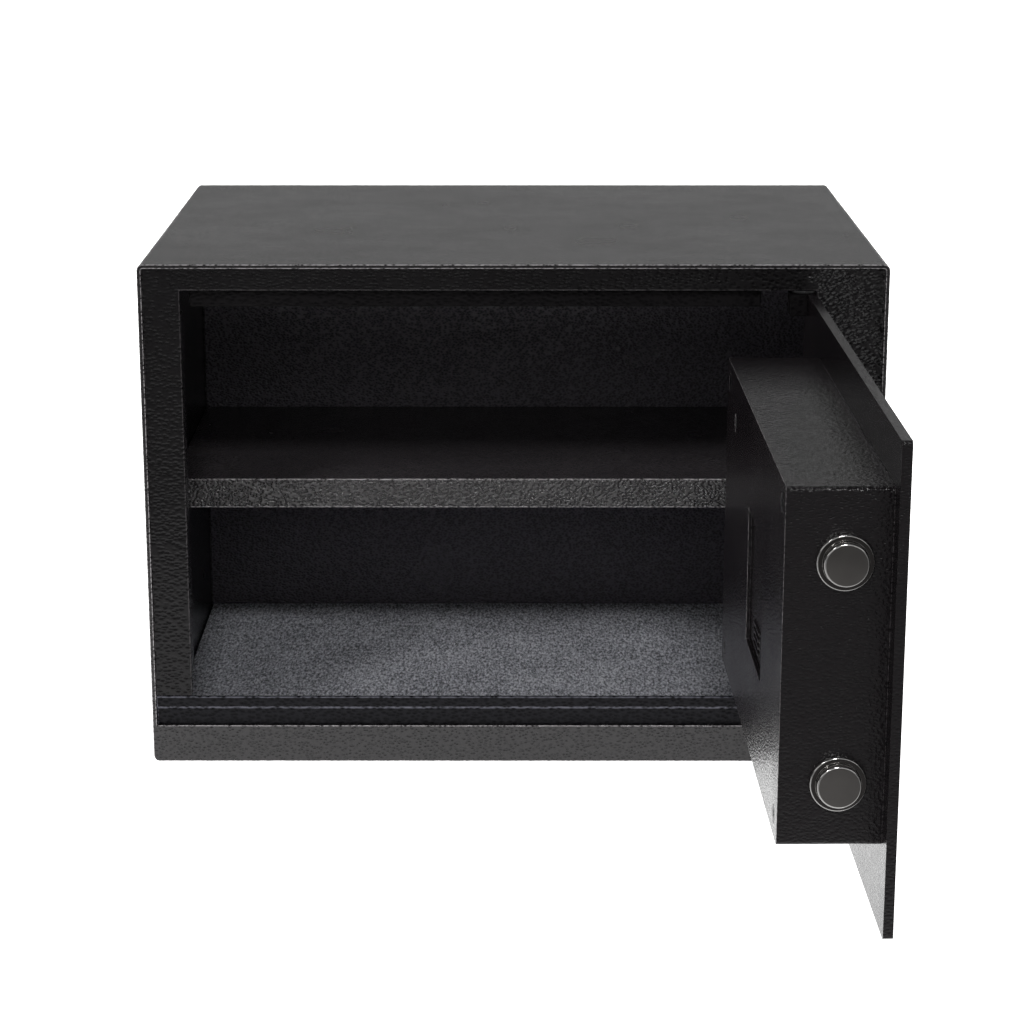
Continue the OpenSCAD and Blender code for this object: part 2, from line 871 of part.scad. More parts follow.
lever_t = 2;
lever_l = 24;
lever_w = 8;
lever_rim = 1.5;
module lock_plug() {
    color("#c4b070")
        on_door()
            difference() {
                bar_y(override_x, override_z, plug_r, barrel_front - plug_lip, barrel_back + slip_gap);
                block([override_x - slot_w / 2, barrel_front - past, override_z - slot_h / 2],
                    [override_x + slot_w / 2, barrel_front + slot_deep, override_z + slot_h / 2]);
            }
}

module lock_cam() {
    y0 = barrel_back + slip_gap;
    color("#909092")
        on_door() {
            bar_y(override_x, override_z, plug_r + lever_rim, y0, y0 + lever_t);
            block([override_x - lever_l, y0, override_z - lever_w / 2],
                [override_x, y0 + lever_t, override_z + lever_w / 2]);
        }
}

// Cover that swings aside on its rivet to show the keyhole
cover_disc_r = 11;
cover_disc_t = 1.8;
cover_lift = 0.3;
rivet_rise = 14;
rivet_r = 1.6;
ear_r = 3.6;
cover_y1 = pad_front - cover_lift;
cover_y0 = cover_y1 - cover_disc_t;
rivet_z = override_z + rivet_rise;
module override_cover() {
    color("#2c2c30")
        on_door()
            difference() {
                union() {
                    bar_y(override_x, override_z, cover_disc_r, cover_y0, cover_y1);
                    bar_y(override_x, rivet_z, ear_r, cover_y0, cover_y1);
                    block([override_x - ear_r, cover_y0, override_z],
                        [override_x + ear_r, cover_y1, rivet_z]);
                }
                bar_y(override_x, rivet_z, rivet_r + run_gap, cover_y0 - past, cover_y1 + past);
            }
}

rivet_head_t = 0.8;
rivet_head_rim = 1;
rivet_play = 0.2;
module cover_rivet() {
    y0 = cover_y0 - rivet_play;
    color("#bebec0")
        on_door() {
            bar_y(override_x, rivet_z, rivet_r, y0, pad_front + pad_t);
            bar_y(override_x, rivet_z, rivet_r + rivet_head_rim, y0 - rivet_head_t, y0);
        }
}

// Keypad housing: hollow cover with windows for keys and lenses
pad_t = 2;
boss_r = 3.5;
key_gap = 0.3;
key_cols = 3;
key_rows = 4;
keys_across = 40;
keys_down = 2;
lens_up = 36;
key_cx = pad_cx - keys_across;
key_cz = pad_cz - keys_down;
lens_z = pad_cz + lens_up;
lens_pitch = 12;
lens_r = 2;
function key_x(i) = key_cx + (i % key_cols - 1) * key_pitch_x;
function key_z(i) = key_cz + ((key_rows - 1) / 2 - floor(i / key_cols)) * key_pitch_z;
module keypad_housing() {
    hw = pad_w / 2;
    hh = pad_h / 2;
    y0 = pad_front - past;
    y1 = pad_front + pad_t + past;
    window_w = key_w / 2 + key_gap;
    window_h = key_h / 2 + key_gap;
    color("#1a1a1c")
        on_door()
            difference() {
                union() {
                    difference() {
                        slab(pad_front, face_y)
                            round_rect([pad_cx - hw, pad_cz - hh], [pad_cx + hw, pad_cz + hh], pad_corner_r);
                        slab(pad_front + pad_t, face_y + past)
                            round_rect([pad_cx - hw + pad_t, pad_cz - hh + pad_t],
                                [pad_cx + hw - pad_t, pad_cz + hh - pad_t], pad_corner_r - pad_t);
                    }
                    for (x = pad_screw_xs)
                        for (z = pad_screw_zs)
                            bar_y(x, z, boss_r, pad_front + pad_t / 2, face_y);
                }
                for (x = pad_screw_xs)
                    for (z = pad_screw_zs)
                        bar_y(x, z, screw_r, pad_front + pad_t, face_y + past);
                for (i = [0:key_cols * key_rows - 1])
                    block([key_x(i) - window_w, y0, key_z(i) - window_h],
                        [key_x(i) + window_w, y1, key_z(i) + window_h]);
                for (i = [-1:1])
                    bar_y(key_cx + i * lens_pitch, lens_z, lens_r, y0, y1);
                bar_y(override_x, override_z, barrel_r + slip_gap, y0, y1);
                bar_y(override_x, rivet_z, rivet_r, y0, y1);
                bar_y(knob_x, knob_z, spindle_r + slip_gap, y0, y1);
            }
}

board_t = 1.6;
board_feet = 2;
pad_board_y = face_y - board_feet - board_t;
foot_r = 1.5;
foot_inset = 3;
board_gap = 1;
module keypad_board() {
    x0 = pad_screw_xs[0] + boss_r + board_gap;
    x1 = override_x - barrel_r - slip_gap - 2 * board_gap;
    z0 = pad_cz - pad_h / 2 + pad_t + board_gap;
    z1 = pad_cz + pad_h / 2 - pad_t - board_gap;
    color("#2e5a3a")
        on_door() {
            block([x0, pad_board_y, z0], [x1, pad_board_y + board_t, z1]);
            for (x = [x0 + foot_inset, x1 - foot_inset])
                for (z = [z0 + foot_inset, z1 - foot_inset])
                    bar_y(x, z, foot_r, pad_board_y + board_t, face_y);
        }
}

pad_screw_gap = 0.5;
module housing_screws() {
    color("#a2a2a4")
        on_door()
            for (x = pad_screw_xs)
                for (z = pad_screw_zs) {
                    bar_y(x, z, screw_r, pad_front + pad_t + pad_screw_gap, door_in);
                    bar_y(x, z, head_r, door_in, door_in + head_t);
                }
}

// One key: a cap through its window with a flange behind the housing's face
key_flange = 1;
key_flange_t = 1;
key_stem_r = 2;
key_play = 0.2;
module key_cap(i) {
    flange_y = pad_front + pad_t + key_play;
    stem_y = pad_board_y - key_travel - key_play;
    hw = key_w / 2;
    hh = key_h / 2;
    fw = hw + key_flange;
    fh = hh + key_flange;
    color("#d8d8d6")
        on_door() {
            block([key_x(i) - hw, pad_front - key_proud, key_z(i) - hh],
                [key_x(i) + hw, flange_y, key_z(i) + hh]);
            block([key_x(i) - fw, flange_y, key_z(i) - fh],
                [key_x(i) + fw, flange_y + key_flange_t, key_z(i) + fh]);
            bar_y(key_x(i), key_z(i), key_stem_r, flange_y, stem_y);
        }
}

lens_proud = 0.4;
lens_rim = 0.8;
module status_lenses() {
    color("#c04030")
        on_door()
            for (i = [-1:1]) {
                bar_y(key_cx + i * lens_pitch, lens_z, lens_r, pad_front - lens_proud, pad_front + pad_t);
                bar_y(key_cx + i * lens_pitch, lens_z, lens_r + lens_rim, pad_front + pad_t, pad_board_y);
            }
}

// Circuit board on four posts above the arm
pcb_from_end = 19.5;
pcb_w = 62;
pcb_over = 3;
pcb_under = 4.5;
pcb_gap = 6.5;
pcb_x1 = box_x1 - pcb_from_end;
pcb_x0 = pcb_x1 - pcb_w;
pcb_z0 = arm_z1 + pcb_over;
pcb_z1 = box_z1 - box_t - pcb_under;
pcb_y = door_in + pcb_gap;
pcb_top = pcb_y + board_t;
pcb_post_r = 2.5;
pcb_inset = 4;
pcb_screw_r = 1.2;
pcb_screw_rim = 1.2;
pcb_screw_l = 5;
pcb_screw_head = 1.4;
switch_h = 6.4;
switch_w = 6;
chip_x = 10;
chip_z = 12;
chip_w = 16;
chip_t = 2.5;
socket_x = 8;
socket_z = 32;
socket_w = 16;
socket_t = 6;
socket_h = 5;
buzzer_x = 36;
buzzer_z = 10;
buzzer_r = 4;
buzzer_h = 9;

// Block on the circuit board, its low corner measured from the board's
module on_board(x, z, w, h, t) {
    block([pcb_x0 + x, pcb_top, pcb_z0 + z], [pcb_x0 + x + w, pcb_top + t, pcb_z0 + z + h]);
}

module control_board() {
    screw_xs = [pcb_x0 + pcb_inset, pcb_x1 - pcb_inset];
    screw_zs = [pcb_z0 + pcb_inset, pcb_z1 - pcb_inset];
    color("#1f5c34")
        on_door() {
            difference() {
                union() {
                    block([pcb_x0, pcb_y, pcb_z0], [pcb_x1, pcb_top, pcb_z1]);
                    for (x = screw_xs)
                        for (z = screw_zs)
                            bar_y(x, z, pcb_post_r, door_in, pcb_y);
                }
                for (x = screw_xs)
                    for (z = screw_zs)
                        bar_y(x, z, pcb_screw_r, door_in + past, pcb_top + past);
            }
            block([reset_x - switch_w / 2, pcb_top, reset_z - switch_w / 2],
                [reset_x + switch_w / 2, pcb_top + switch_h, reset_z + switch_w / 2]);
            on_board(chip_x, chip_z, chip_w, chip_w, chip_t);
            on_board(socket_x, socket_z, socket_w, socket_h, socket_t);
            bar_y(pcb_x0 + buzzer_x, pcb_z0 + buzzer_z, buzzer_r, pcb_top, pcb_top + buzzer_h);
        }
}

module board_screws() {
    color("#a6a6a8")
        on_door()
            for (x = [pcb_x0 + pcb_inset, pcb_x1 - pcb_inset])
                for (z = [pcb_z0 + pcb_inset, pcb_z1 - pcb_inset]) {
                    bar_y(x, z, pcb_screw_r, pcb_top - pcb_screw_l, pcb_top);
                    bar_y(x, z, pcb_screw_r + pcb_screw_rim, pcb_top, pcb_top + pcb_screw_head);
                }
}

case_y0 = box_face - bay_d;
ledge_w = 1.5;
ledge_t = 1.4;
module battery_case() {
    low = [bay_cx - bay_w / 2, case_y0, bay_cz - bay_h / 2];
    high = [bay_cx + bay_w / 2, box_face, bay_cz + bay_h / 2];
    inner = low + [case_t, case_t, case_t];
    inner_x1 = high[0] - case_t;
    inner_z1 = high[2] - case_t;
    groove_y = cover_in - cover_gap;
    color("#28282a")
        on_door()
            difference() {
                block(low, high);
                block(inner, [inner_x1, groove_y - ledge_t, inner_z1]);
                block(inner + [ledge_w, 0, 0], [inner_x1 - ledge_w, box_face + past, inner_z1]);
                block([inner[0], groove_y, inner[2]], [inner_x1, box_face + past, high[2] + past]);
            }
}

// Four cells lying side by side, each with its raised end
cell_nib_r = 2.7;
cell_nib = 1.2;
module battery_cells() {
    y = case_y0 + case_t + cell_r;
    x0 = bay_cx - cell_l / 2;
    x1 = bay_cx + cell_l / 2 - cell_nib;
    color("#8c98a0")
        on_door()
            for (i = [0:cell_n - 1]) {
                z = bay_cz + (i - (cell_n - 1) / 2) * cell_pitch;
                bar_x(y, z, cell_r, x0, x1);
                bar_x(y, z, cell_nib_r, x1, x1 + cell_nib);
            }
}

grip_ribs = 4;
grip_half = 9;
grip_pitch = 3;
grip_rib = 1.5;
grip_proud = 0.8;
grip_up = 6;
module battery_cover() {
    half_w = bay_w / 2 - case_t - cover_gap;
    foot = bay_cz - bay_h / 2 + case_t + cover_gap;
    color("#18181a")
        on_door() {
            block([bay_cx - half_w, cover_in, foot], [bay_cx + half_w, cover_out, bay_cz + bay_h / 2]);
            for (i = [0:grip_ribs - 1]) {
                z = foot + grip_up + grip_pitch * i;
                block([bay_cx - grip_half, cover_out, z],
                    [bay_cx + grip_half, cover_out + grip_proud, z + grip_rib]);
            }
        }
}

reset_travel = 0.8;
reset_play = 0.2;
reset_cap = 3;
reset_sunk = 0.5;
reset_stem_r = 2;
module reset_button() {
    cap_y = box_face - reset_cap;
    color("#1a1a1c")
        on_door() {
            bar_y(reset_x, reset_z, reset_r, cap_y, box_back - reset_sunk);
            bar_y(reset_x, reset_z, reset_stem_r, pcb_top + switch_h + reset_travel + reset_play, cap_y);
        }
}

// A run of round cable swept as one tube through a list of points
cable_sides = 8;
function unit(v) = v / norm(v);
function leg(p, i) = unit(p[i + 1] - p[i]);
function cable_way(p, i) = unit(leg(p, min(i, len(p) - 2)) + leg(p, max(i - 1, 0)));
cable_side = [0.31, 0.17, 0.93];
function cable_ring(p, i, r) =
    let(w = cable_way(p, i), s = unit(cross(w, cable_side)), t = cross(s, w))
    [for (k = [0:cable_sides - 1]) let(b = 360 * k / cable_sides) p[i] + r * (cos(b) * s + sin(b) * t)];
function bend(p) = concat([p[0]], [for (i = [1:len(p) - 2]) each
    [0.75 * p[i] + 0.25 * p[i - 1], 0.75 * p[i] + 0.25 * p[i + 1]]], [p[len(p) - 1]]);
module cable(points, r) {
    path = bend(bend(points));
    polyhedron([for (i = [0:len(path) - 1]) each cable_ring(path, i, r)], tube_faces(len(path), cable_sides));
}

// Three cables: keypad to board, batteries to board, and board to solenoid
cable_r = 1.6;
lead_out = 4;
jog = 6;
cable_gap = 5;
gap_y = arm_back + cable_gap;
plug_z = pcb_z0 + socket_z + socket_h / 2;
plug_in = 16;
keypad_plug = [pcb_x0 + plug_in, pcb_top + socket_t + cable_r, plug_z];
keypad_route = [[cable_x, pad_board_y + board_t, cable_z], [cable_x, door_in + lead_out, cable_z],
    [cable_x + jog, gap_y, cable_z + jog], [pcb_x0 - lead_out, gap_y + lead_out, plug_z],
    keypad_plug - [jog, 0, 0], keypad_plug];
battery_across = 20;
battery_up = 24;
battery_out = 3;
battery_jog = 10;
battery_x = bay_cx + battery_across;
battery_z = bay_cz + battery_up;
battery_y = case_y0 - battery_out;
chip_y = pcb_top + chip_t;
battery_end = [pcb_x0 + chip_x, chip_y + cable_r, pcb_z0 + battery_up];
battery_route = [[battery_x, case_y0, battery_z], [battery_x, battery_y, battery_z],
    [battery_x + battery_jog, battery_y, battery_z + battery_jog],
    [pcb_x0 - jog, gap_y + 2 * lead_out, battery_end[2] + lead_out],
    [pcb_x0 + jog, gap_y + jog, battery_end[2]], battery_end];
coil_face = coil_y + coil_r;
coil_lead_z = sol_z0 + coil_h / 2;
riser_gap = 16;
riser_y = gap_y + slip_gap;
riser_x = coil_x + riser_gap;
coil_end = [pcb_x0 + chip_x + lead_out, chip_y, pcb_z0 + chip_z + lead_out];
solenoid_route = [[coil_x, coil_face, coil_lead_z], [coil_x, coil_face + lead_out, coil_lead_z],
    [riser_x, riser_y, coil_lead_z], [riser_x, riser_y, arm_z1],
    coil_end + [0, jog, -jog], coil_end + [0, lead_out, 0], coil_end];
module wiring() {
    color("#a83028")
        on_door()
            cable(keypad_route, cable_r);
    color("#303034")
        on_door()
            cable(battery_route, cable_r);
    color("#305088")
        on_door()
            cable(solenoid_route, cable_r);
}

outer_shell();
back_plate();
front_frame();
sill_rail();
strike_angle();
door_stop();
pivot_brackets();
shelf();
shelf_rails();
floor_mat();
hinge_washers();
door_plate();
hinge_blocks();
hinge_pins();
lock_box();
box_posts();
box_screws();
bolt_rings();
locking_bolts();
bolt_nuts();
bolt_carrier();
guide_post();
knob();
knob_spindle();
spindle_bush();
drive_cam();
cam_screw();
solenoid_frame();
solenoid_coil();
solenoid_plunger();
plunger_spring();
lock_barrel();
lock_nut();
lock_plug();
lock_cam();
override_cover();
cover_rivet();
keypad_housing();
keypad_board();
housing_screws();
key_cap(0);  // key_1
key_cap(1);  // key_2
key_cap(2);  // key_3
key_cap(3);  // key_4
key_cap(4);  // key_5
key_cap(5);  // key_6
key_cap(6);  // key_7
key_cap(7);  // key_8
key_cap(8);  // key_9
key_cap(9);  // key_clear
key_cap(10);  // key_0
key_cap(11);  // key_enter
status_lenses();
control_board();
battery_case();
battery_cells();
battery_cover();
reset_button();
wiring();
board_screws();
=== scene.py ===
import bpy
import bmesh
import json
import math
from mathutils import Matrix, Vector, noise


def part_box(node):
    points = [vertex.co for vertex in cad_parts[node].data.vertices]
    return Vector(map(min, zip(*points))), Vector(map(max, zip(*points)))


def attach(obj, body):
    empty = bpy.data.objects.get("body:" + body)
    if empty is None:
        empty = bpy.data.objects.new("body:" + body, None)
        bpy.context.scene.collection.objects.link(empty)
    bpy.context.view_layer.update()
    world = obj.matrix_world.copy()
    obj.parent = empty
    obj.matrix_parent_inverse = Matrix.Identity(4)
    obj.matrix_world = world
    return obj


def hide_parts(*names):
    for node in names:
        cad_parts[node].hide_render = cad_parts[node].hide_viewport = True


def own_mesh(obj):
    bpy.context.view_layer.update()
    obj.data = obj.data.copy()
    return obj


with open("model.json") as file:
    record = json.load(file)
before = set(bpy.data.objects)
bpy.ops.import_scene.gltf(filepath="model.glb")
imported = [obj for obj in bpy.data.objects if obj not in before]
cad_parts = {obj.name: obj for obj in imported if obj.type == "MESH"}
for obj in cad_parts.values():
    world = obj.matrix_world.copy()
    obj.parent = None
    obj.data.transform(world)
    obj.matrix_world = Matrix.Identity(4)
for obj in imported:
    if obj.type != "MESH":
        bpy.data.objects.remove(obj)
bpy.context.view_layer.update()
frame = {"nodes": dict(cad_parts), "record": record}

print("safe: frame loaded,", len(frame["nodes"]), "nodes")

bodyOf = {node: body for body, nodes in frame["record"]["behaviour"]["bodies"].items() for node in nodes}
slotOf = {part["node"]: part["material_slot"] for part in frame["record"]["subparts"]}

# The door stands open at rest: its pieces are drawn on the shut door and swung out
doorHinge = {"x": 0.1357, "y": -0.1185, "openDegrees": 90.8}


def rotation(degrees, axis):
    return Matrix.Rotation(math.radians(degrees), 4, axis)


hingeLine = Matrix.Translation((doorHinge["x"], doorHinge["y"], 0))
openDoor = hingeLine @ rotation(doorHinge["openDegrees"], "Z") @ hingeLine.inverted()
shutDoor = openDoor.inverted()


def shutBox(node):
    # lowest and highest corners of a door part, as it stands with the door shut
    points = [shutDoor @ v.co for v in frame["nodes"][node].data.vertices]
    return [Vector([pick(p[i] for p in points) for i in range(3)]) for pick in (min, max)]


# Mesh helpers
mesher = {"mergeWithin": 2e-6, "seamWithin": 1e-7, "sliver": 1e-8, "flatDegrees": 0.6, "sharpDegrees": 32,
          "cornerSteps": 5, "planeWithin": 1e-5, "facing": 0.9, "roundEnd": 0.98}


def inScene(name, data):
    thing = bpy.data.objects.new(name, data)
    bpy.context.scene.collection.objects.link(thing)
    return thing


def inOrder(bm):
    # puts the faces in the same order on every run, by their three lowest corners
    bm.verts.index_update()
    span = len(bm.verts)

    def place(face):
        a, b, c = sorted(v.index for v in face.verts)[:3]
        return (a * span + b) * span + c

    bm.faces.sort(key=place)
    return bm


def meshObject(name, bm, swing=False):
    if swing:
        bm.transform(openDoor)
    mesh = bpy.data.meshes.new(name)
    inOrder(bm).to_mesh(mesh)
    bm.free()
    return inScene(name, mesh)


def faceOut(bm):
    bmesh.ops.recalc_face_normals(bm, faces=bm.faces)
    return bm


def settle(thing, node, finishes=None, replace=True, smooth=38):
    # one finished piece: its paints, the body it rides on, and the CAD node it stands for
    for finish in finishes or [paints[slotOf[node]]]:
        thing.data.materials.append(finish)
    for face in thing.data.polygons:
        face.use_smooth = True
    thing.data.set_sharp_from_angle(angle=math.radians(smooth))
    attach(thing, bodyOf[node])
    if replace:
        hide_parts(node)
    return thing


def doorPiece(name, bm, node, finishes=None, **more):
    # a piece drawn on the shut door
    return settle(meshObject(name, bm, swing=True), node, finishes, **more)


def evenShading(thing):
    even = thing.modifiers.new("weighted", "WEIGHTED_NORMAL")
    even.keep_sharp = True
    even.weight = 100


def mergedCopy(node, shut=False):
    # the CAD node's loose triangles, merged and with their flat faces joined
    bm = bmesh.new()
    bm.from_mesh(frame["nodes"][node].data)
    if shut:
        bm.transform(shutDoor)
    bmesh.ops.remove_doubles(bm, verts=bm.verts, dist=mesher["mergeWithin"])
    bmesh.ops.dissolve_limit(bm, angle_limit=math.radians(mesher["flatDegrees"]), verts=bm.verts,
                             edges=bm.edges, delimit={"NORMAL"})
    return bm


def rollEdges(bm, radius, steps, chosen=None):
    # rounds the sharp edges and marks the new faces, where the finish shows wear and a painted edge highlight
    wearAndGlint = bm.loops.layers.float.get("edgeWearAndGlint") or bm.loops.layers.float.new("edgeWearAndGlint")
    limit = math.radians(mesher["sharpDegrees"])
    sharp = [e for e in bm.edges if len(e.link_faces) == 2 and e.calc_face_angle(0) > limit]
    if chosen:
        sharp = [e for e in sharp if chosen(e)]
    made = bmesh.ops.bevel(bm, geom=sharp, offset=radius, offset_type="OFFSET", segments=steps,
                           profile=0.5, affect="EDGES", clamp_overlap=True, loop_slide=True)
    for face in made["faces"]:
        for loop in face.loops:
            loop[wearAndGlint] = 1.0


def liesAt(edge, y):
    # whether the whole edge lies in the upright plane at this depth
    return all(abs(v.co.y - y) < mesher["planeWithin"] for v in edge.verts)


def finePiece(name, node, radius, steps):
    # a CAD part with its pressed, folded or cut edges rolled
    bm = mergedCopy(node)
    rollEdges(bm, radius, steps)
    thing = meshObject(name, bm)
    finishes = [coats[node]] if node in coats else None
    if node in inside:  # the face that looks the given way has a lighter coat, painted light
        way, coat = inside[node]
        finishes.append(coat)
        for polygon in thing.data.polygons:
            polygon.material_index = 1 if polygon.normal.dot(Vector(way)) > mesher["facing"] else 0
    evenShading(settle(thing, node, finishes, smooth=40))


def roundedProfile(corners):
    # corners of (along, radius, rounding): each corner becomes a short curve
    made = []
    steps = mesher["cornerSteps"]
    for i, (along, radius, rounding) in enumerate(corners):
        here = Vector((along, radius))
        if rounding <= 0 or i in (0, len(corners) - 1):
            made.append((along, radius))
            continue
        before = Vector(corners[i - 1][:2]) - here
        after = Vector(corners[i + 1][:2]) - here
        reach = min(rounding, before.length * 0.5, after.length * 0.5)
        start, end = here + before.normalized() * reach, here + after.normalized() * reach
        for k in range(steps + 1):
            t = k / steps
            p = start * (1 - t) ** 2 + here * 2 * t * (1 - t) + end * t ** 2
            made.append((p.x, p.y))
    return made


def lathe(corners, middle, way="x", steps=72):
    # a profile turned about the line along X or Y through middle, with its seam and poles merged
    profile = roundedProfile(corners)
    bm = bmesh.new()
    rings = []
    for k in range(steps):
        turn = 2 * math.pi * k / steps
        rings.append([bm.verts.new((a, r * math.cos(turn), r * math.sin(turn))) for a, r in profile])
    for k in range(steps):
        here, there = rings[k], rings[(k + 1) % steps]
        for i in range(len(profile) - 1):
            bm.faces.new((here[i], there[i], there[i + 1], here[i + 1]))
    bmesh.ops.remove_doubles(bm, verts=bm.verts, dist=mesher["seamWithin"])
    bmesh.ops.dissolve_degenerate(bm, edges=bm.edges, dist=mesher["sliver"])
    faceOut(bm)
    if way == "y":
        bm.transform(rotation(90, "Z"))
    bm.transform(Matrix.Translation([0 if axis == way else m for axis, m in zip("xyz", middle)]))
    return bm


def joinInto(bm, other, material=0):
    # adds the other mesh's faces, with a material of their own where one is given
    mesh = bpy.data.meshes.new("joined")
    other.to_mesh(mesh)
    other.free()
    before = set(bm.faces)
    bm.from_mesh(mesh)
    bpy.data.meshes.remove(mesh)
    if material:
        for face in set(bm.faces) - before:
            face.material_index = material
    return bm


def band(bm, here, there):
    # faces between two closed rings of corners
    for k in range(len(here)):
        m = (k + 1) % len(here)
        bm.faces.new((here[k], here[m], there[m], there[k]))


def plateFrom(outline, back, front, hole=None):
    # an outline of (x, z) points as a plate from y = back to y = front, ring-shaped with a hole
    bm = bmesh.new()
    loops = [[bm.verts.new((x, y, z)) for x, z in points]
             for points in (outline, hole) if points for y in (back, front)]
    for a, b in [(0, 1), (3, 2), (2, 0), (1, 3)] if hole else [(0, 1)]:
        band(bm, loops[a], loops[b])
    if not hole:
        bm.faces.new(loops[0])
        bm.faces.new(loops[1])
    return faceOut(bm)


def roundedRectangle(x0, x1, z0, z1, corner, steps=8):
    points = []
    for cx, cz, start in ((x1 - corner, z1 - corner, 0), (x0 + corner, z1 - corner, 90),
                          (x0 + corner, z0 + corner, 180), (x1 - corner, z0 + corner, 270)):
        for k in range(steps + 1):
            a = math.radians(start + 90 * k / steps)
            points.append((cx + corner * math.cos(a), cz + corner * math.sin(a)))
    return points


def smoothRoute(points, rounds=3):
    # corners cut again and again, so that a cable bends as one smooth run
    route = [Vector(p) for p in points]
    for _ in range(rounds):
        cut = [route[0]]
        for i in range(1, len(route) - 1):
            cut += [route[i].lerp(route[i - 1], 0.25), route[i].lerp(route[i + 1], 0.25)]
        route = cut + [route[-1]]
    return route


def tubeAlong(route, radius, sides):
    bm = bmesh.new()
    last = len(route) - 1
    ways = [(route[min(i + 1, last)] - route[max(i - 1, 0)]).normalized() for i in range(last + 1)]
    side = ways[0].orthogonal().normalized()
    rings = []
    for point, way in zip(route, ways):
        side = (side - way * side.dot(way)).normalized()
        up = way.cross(side)
        rings.append([bm.verts.new(point + radius * (math.cos(a) * side + math.sin(a) * up))
                      for a in (2 * math.pi * k / sides for k in range(sides))])
    for here, there in zip(rings, rings[1:]):
        band(bm, here, there)
    bm.faces.new(rings[0])
    bm.faces.new(rings[-1])
    return faceOut(bm)


def meshOf(thing):
    # what the object's text or modifiers come to; the object itself goes
    made = thing.evaluated_get(bpy.context.evaluated_depsgraph_get())
    mesh = bpy.data.meshes.new_from_object(made)
    bpy.data.objects.remove(thing)
    bm = bmesh.new()
    bm.from_mesh(mesh)
    bpy.data.meshes.remove(mesh)
    return bm


def lettering(word, values):
    # a word as a mesh standing upright, read from the front, its middle at the origin
    curve = bpy.data.curves.new("lettering", "FONT")
    curve.body = word
    curve.size = values["signSize"]
    curve.extrude = values["signThick"] / 2
    curve.offset = values["signBold"]
    curve.resolution_u = values["signSteps"]
    bm = meshOf(inScene("lettering", curve))
    bmesh.ops.remove_doubles(bm, verts=bm.verts, dist=mesher["seamWithin"])
    faceOut(bm)
    middle = [(min(v.co[i] for v in bm.verts) + max(v.co[i] for v in bm.verts)) / 2 for i in range(3)]
    bm.transform(rotation(90, "X") @ Matrix.Translation([-m for m in middle]))
    return bm


# Geometry Nodes helpers
def startTree(name, sizes):
    tree = bpy.data.node_groups.new(name, "GeometryNodeTree")
    tree.interface.new_socket("Geometry", in_out="INPUT", socket_type="NodeSocketGeometry")
    for label in sizes:
        kind = "NodeSocketInt" if label.endswith("Count") else "NodeSocketFloat"
        tree.interface.new_socket(label, in_out="INPUT", socket_type=kind)
    tree.interface.new_socket("Geometry", in_out="OUTPUT", socket_type="NodeSocketGeometry")
    return tree, tree.nodes.new("NodeGroupInput"), tree.nodes.new("NodeGroupOutput")


def feed(tree, node, given):
    # the node's inputs, each given as a value or as another node's output
    for label, value in given.items():
        if isinstance(value, bpy.types.NodeSocket):
            tree.links.new(value, node.inputs[label])
        else:
            node.inputs[label].default_value = value


def addStep(tree, kind, given, **settings):
    # a new node; its first output in use comes back
    node = tree.nodes.new(kind)
    for name, value in settings.items():
        setattr(node, name, value)
    feed(tree, node, given)
    return next(socket for socket in node.outputs if socket.enabled)


def threeOf(tree, x, y, z):
    return addStep(tree, "ShaderNodeCombineXYZ", {"X": x, "Y": y, "Z": z})


def axisOf(tree, place, axis):
    return addStep(tree, "ShaderNodeSeparateXYZ", {"Vector": place}).node.outputs[axis]


def mathNode(tree, kind, a, b):
    return addStep(tree, "ShaderNodeMath", {0: a, 1: b}, operation=kind)


def endTree(tree, sent, points, shape, finish, given):
    # the shape on every point, as one painted mesh
    placed = addStep(tree, "GeometryNodeInstanceOnPoints", {"Points": points, "Instance": shape, **given})
    whole = addStep(tree, "GeometryNodeRealizeInstances", {"Geometry": placed})
    painted = addStep(tree, "GeometryNodeSetMaterial", {"Geometry": whole, "Material": finish})
    feed(tree, sent, {"Geometry": painted})


def runTree(name, tree, points, edges, values, place=None, swing=False):
    # bare points go in, and a plain mesh with no modifier comes out
    mesh = bpy.data.meshes.new(name + "Points")
    mesh.from_pydata(points, edges, [])
    carrier = inScene(name + "Points", mesh)
    step = carrier.modifiers.new("build", "NODES")
    step.node_group = tree
    for socket in tree.interface.items_tree:
        if socket.in_out == "INPUT" and socket.name in values:
            step[socket.identifier] = values[socket.name]
    carrier.update_tag()
    bm = meshOf(carrier)
    if place:
        bm.transform(place)
    return meshObject(name, faceOut(bm), swing)


# Materials
noiseReach = (0.3, 0.7)  # where most of a noise's values lie


def startPaint(name):
    paint = bpy.data.materials.new(name)
    paint.use_nodes = True
    tree = paint.node_tree
    place = tree.nodes.new("ShaderNodeTexCoord").outputs["Object"]
    return paint, tree, tree.nodes["Principled BSDF"], place


def noiseNode(tree, place, scale, detail, rough):
    return addStep(tree, "ShaderNodeTexNoise", {
        "Vector": place, "Scale": scale, "Detail": detail, "Roughness": rough})


def rampNode(tree, value, stops):
    colour = addStep(tree, "ShaderNodeValToRGB", {"Fac": value})
    ramp = colour.node.color_ramp
    while len(ramp.elements) < len(stops):
        ramp.elements.new(0.5)
    for element, (at, shade) in zip(ramp.elements, stops):
        element.position = at
        element.color = (*shade, 1)
    return colour


def rangeNode(tree, value, low, high, newLow, newHigh, kind="LINEAR"):
    return addStep(tree, "ShaderNodeMapRange", {
        "Value": value, "From Min": low, "From Max": high, "To Min": newLow, "To Max": newHigh},
        interpolation_type=kind)


def stretchNode(tree, place, scale):
    return addStep(tree, "ShaderNodeMapping", {"Vector": place, "Scale": scale})


def bumpNode(tree, height, strength, distance):
    return addStep(tree, "ShaderNodeBump", {"Height": height, "Strength": strength, "Distance": distance})


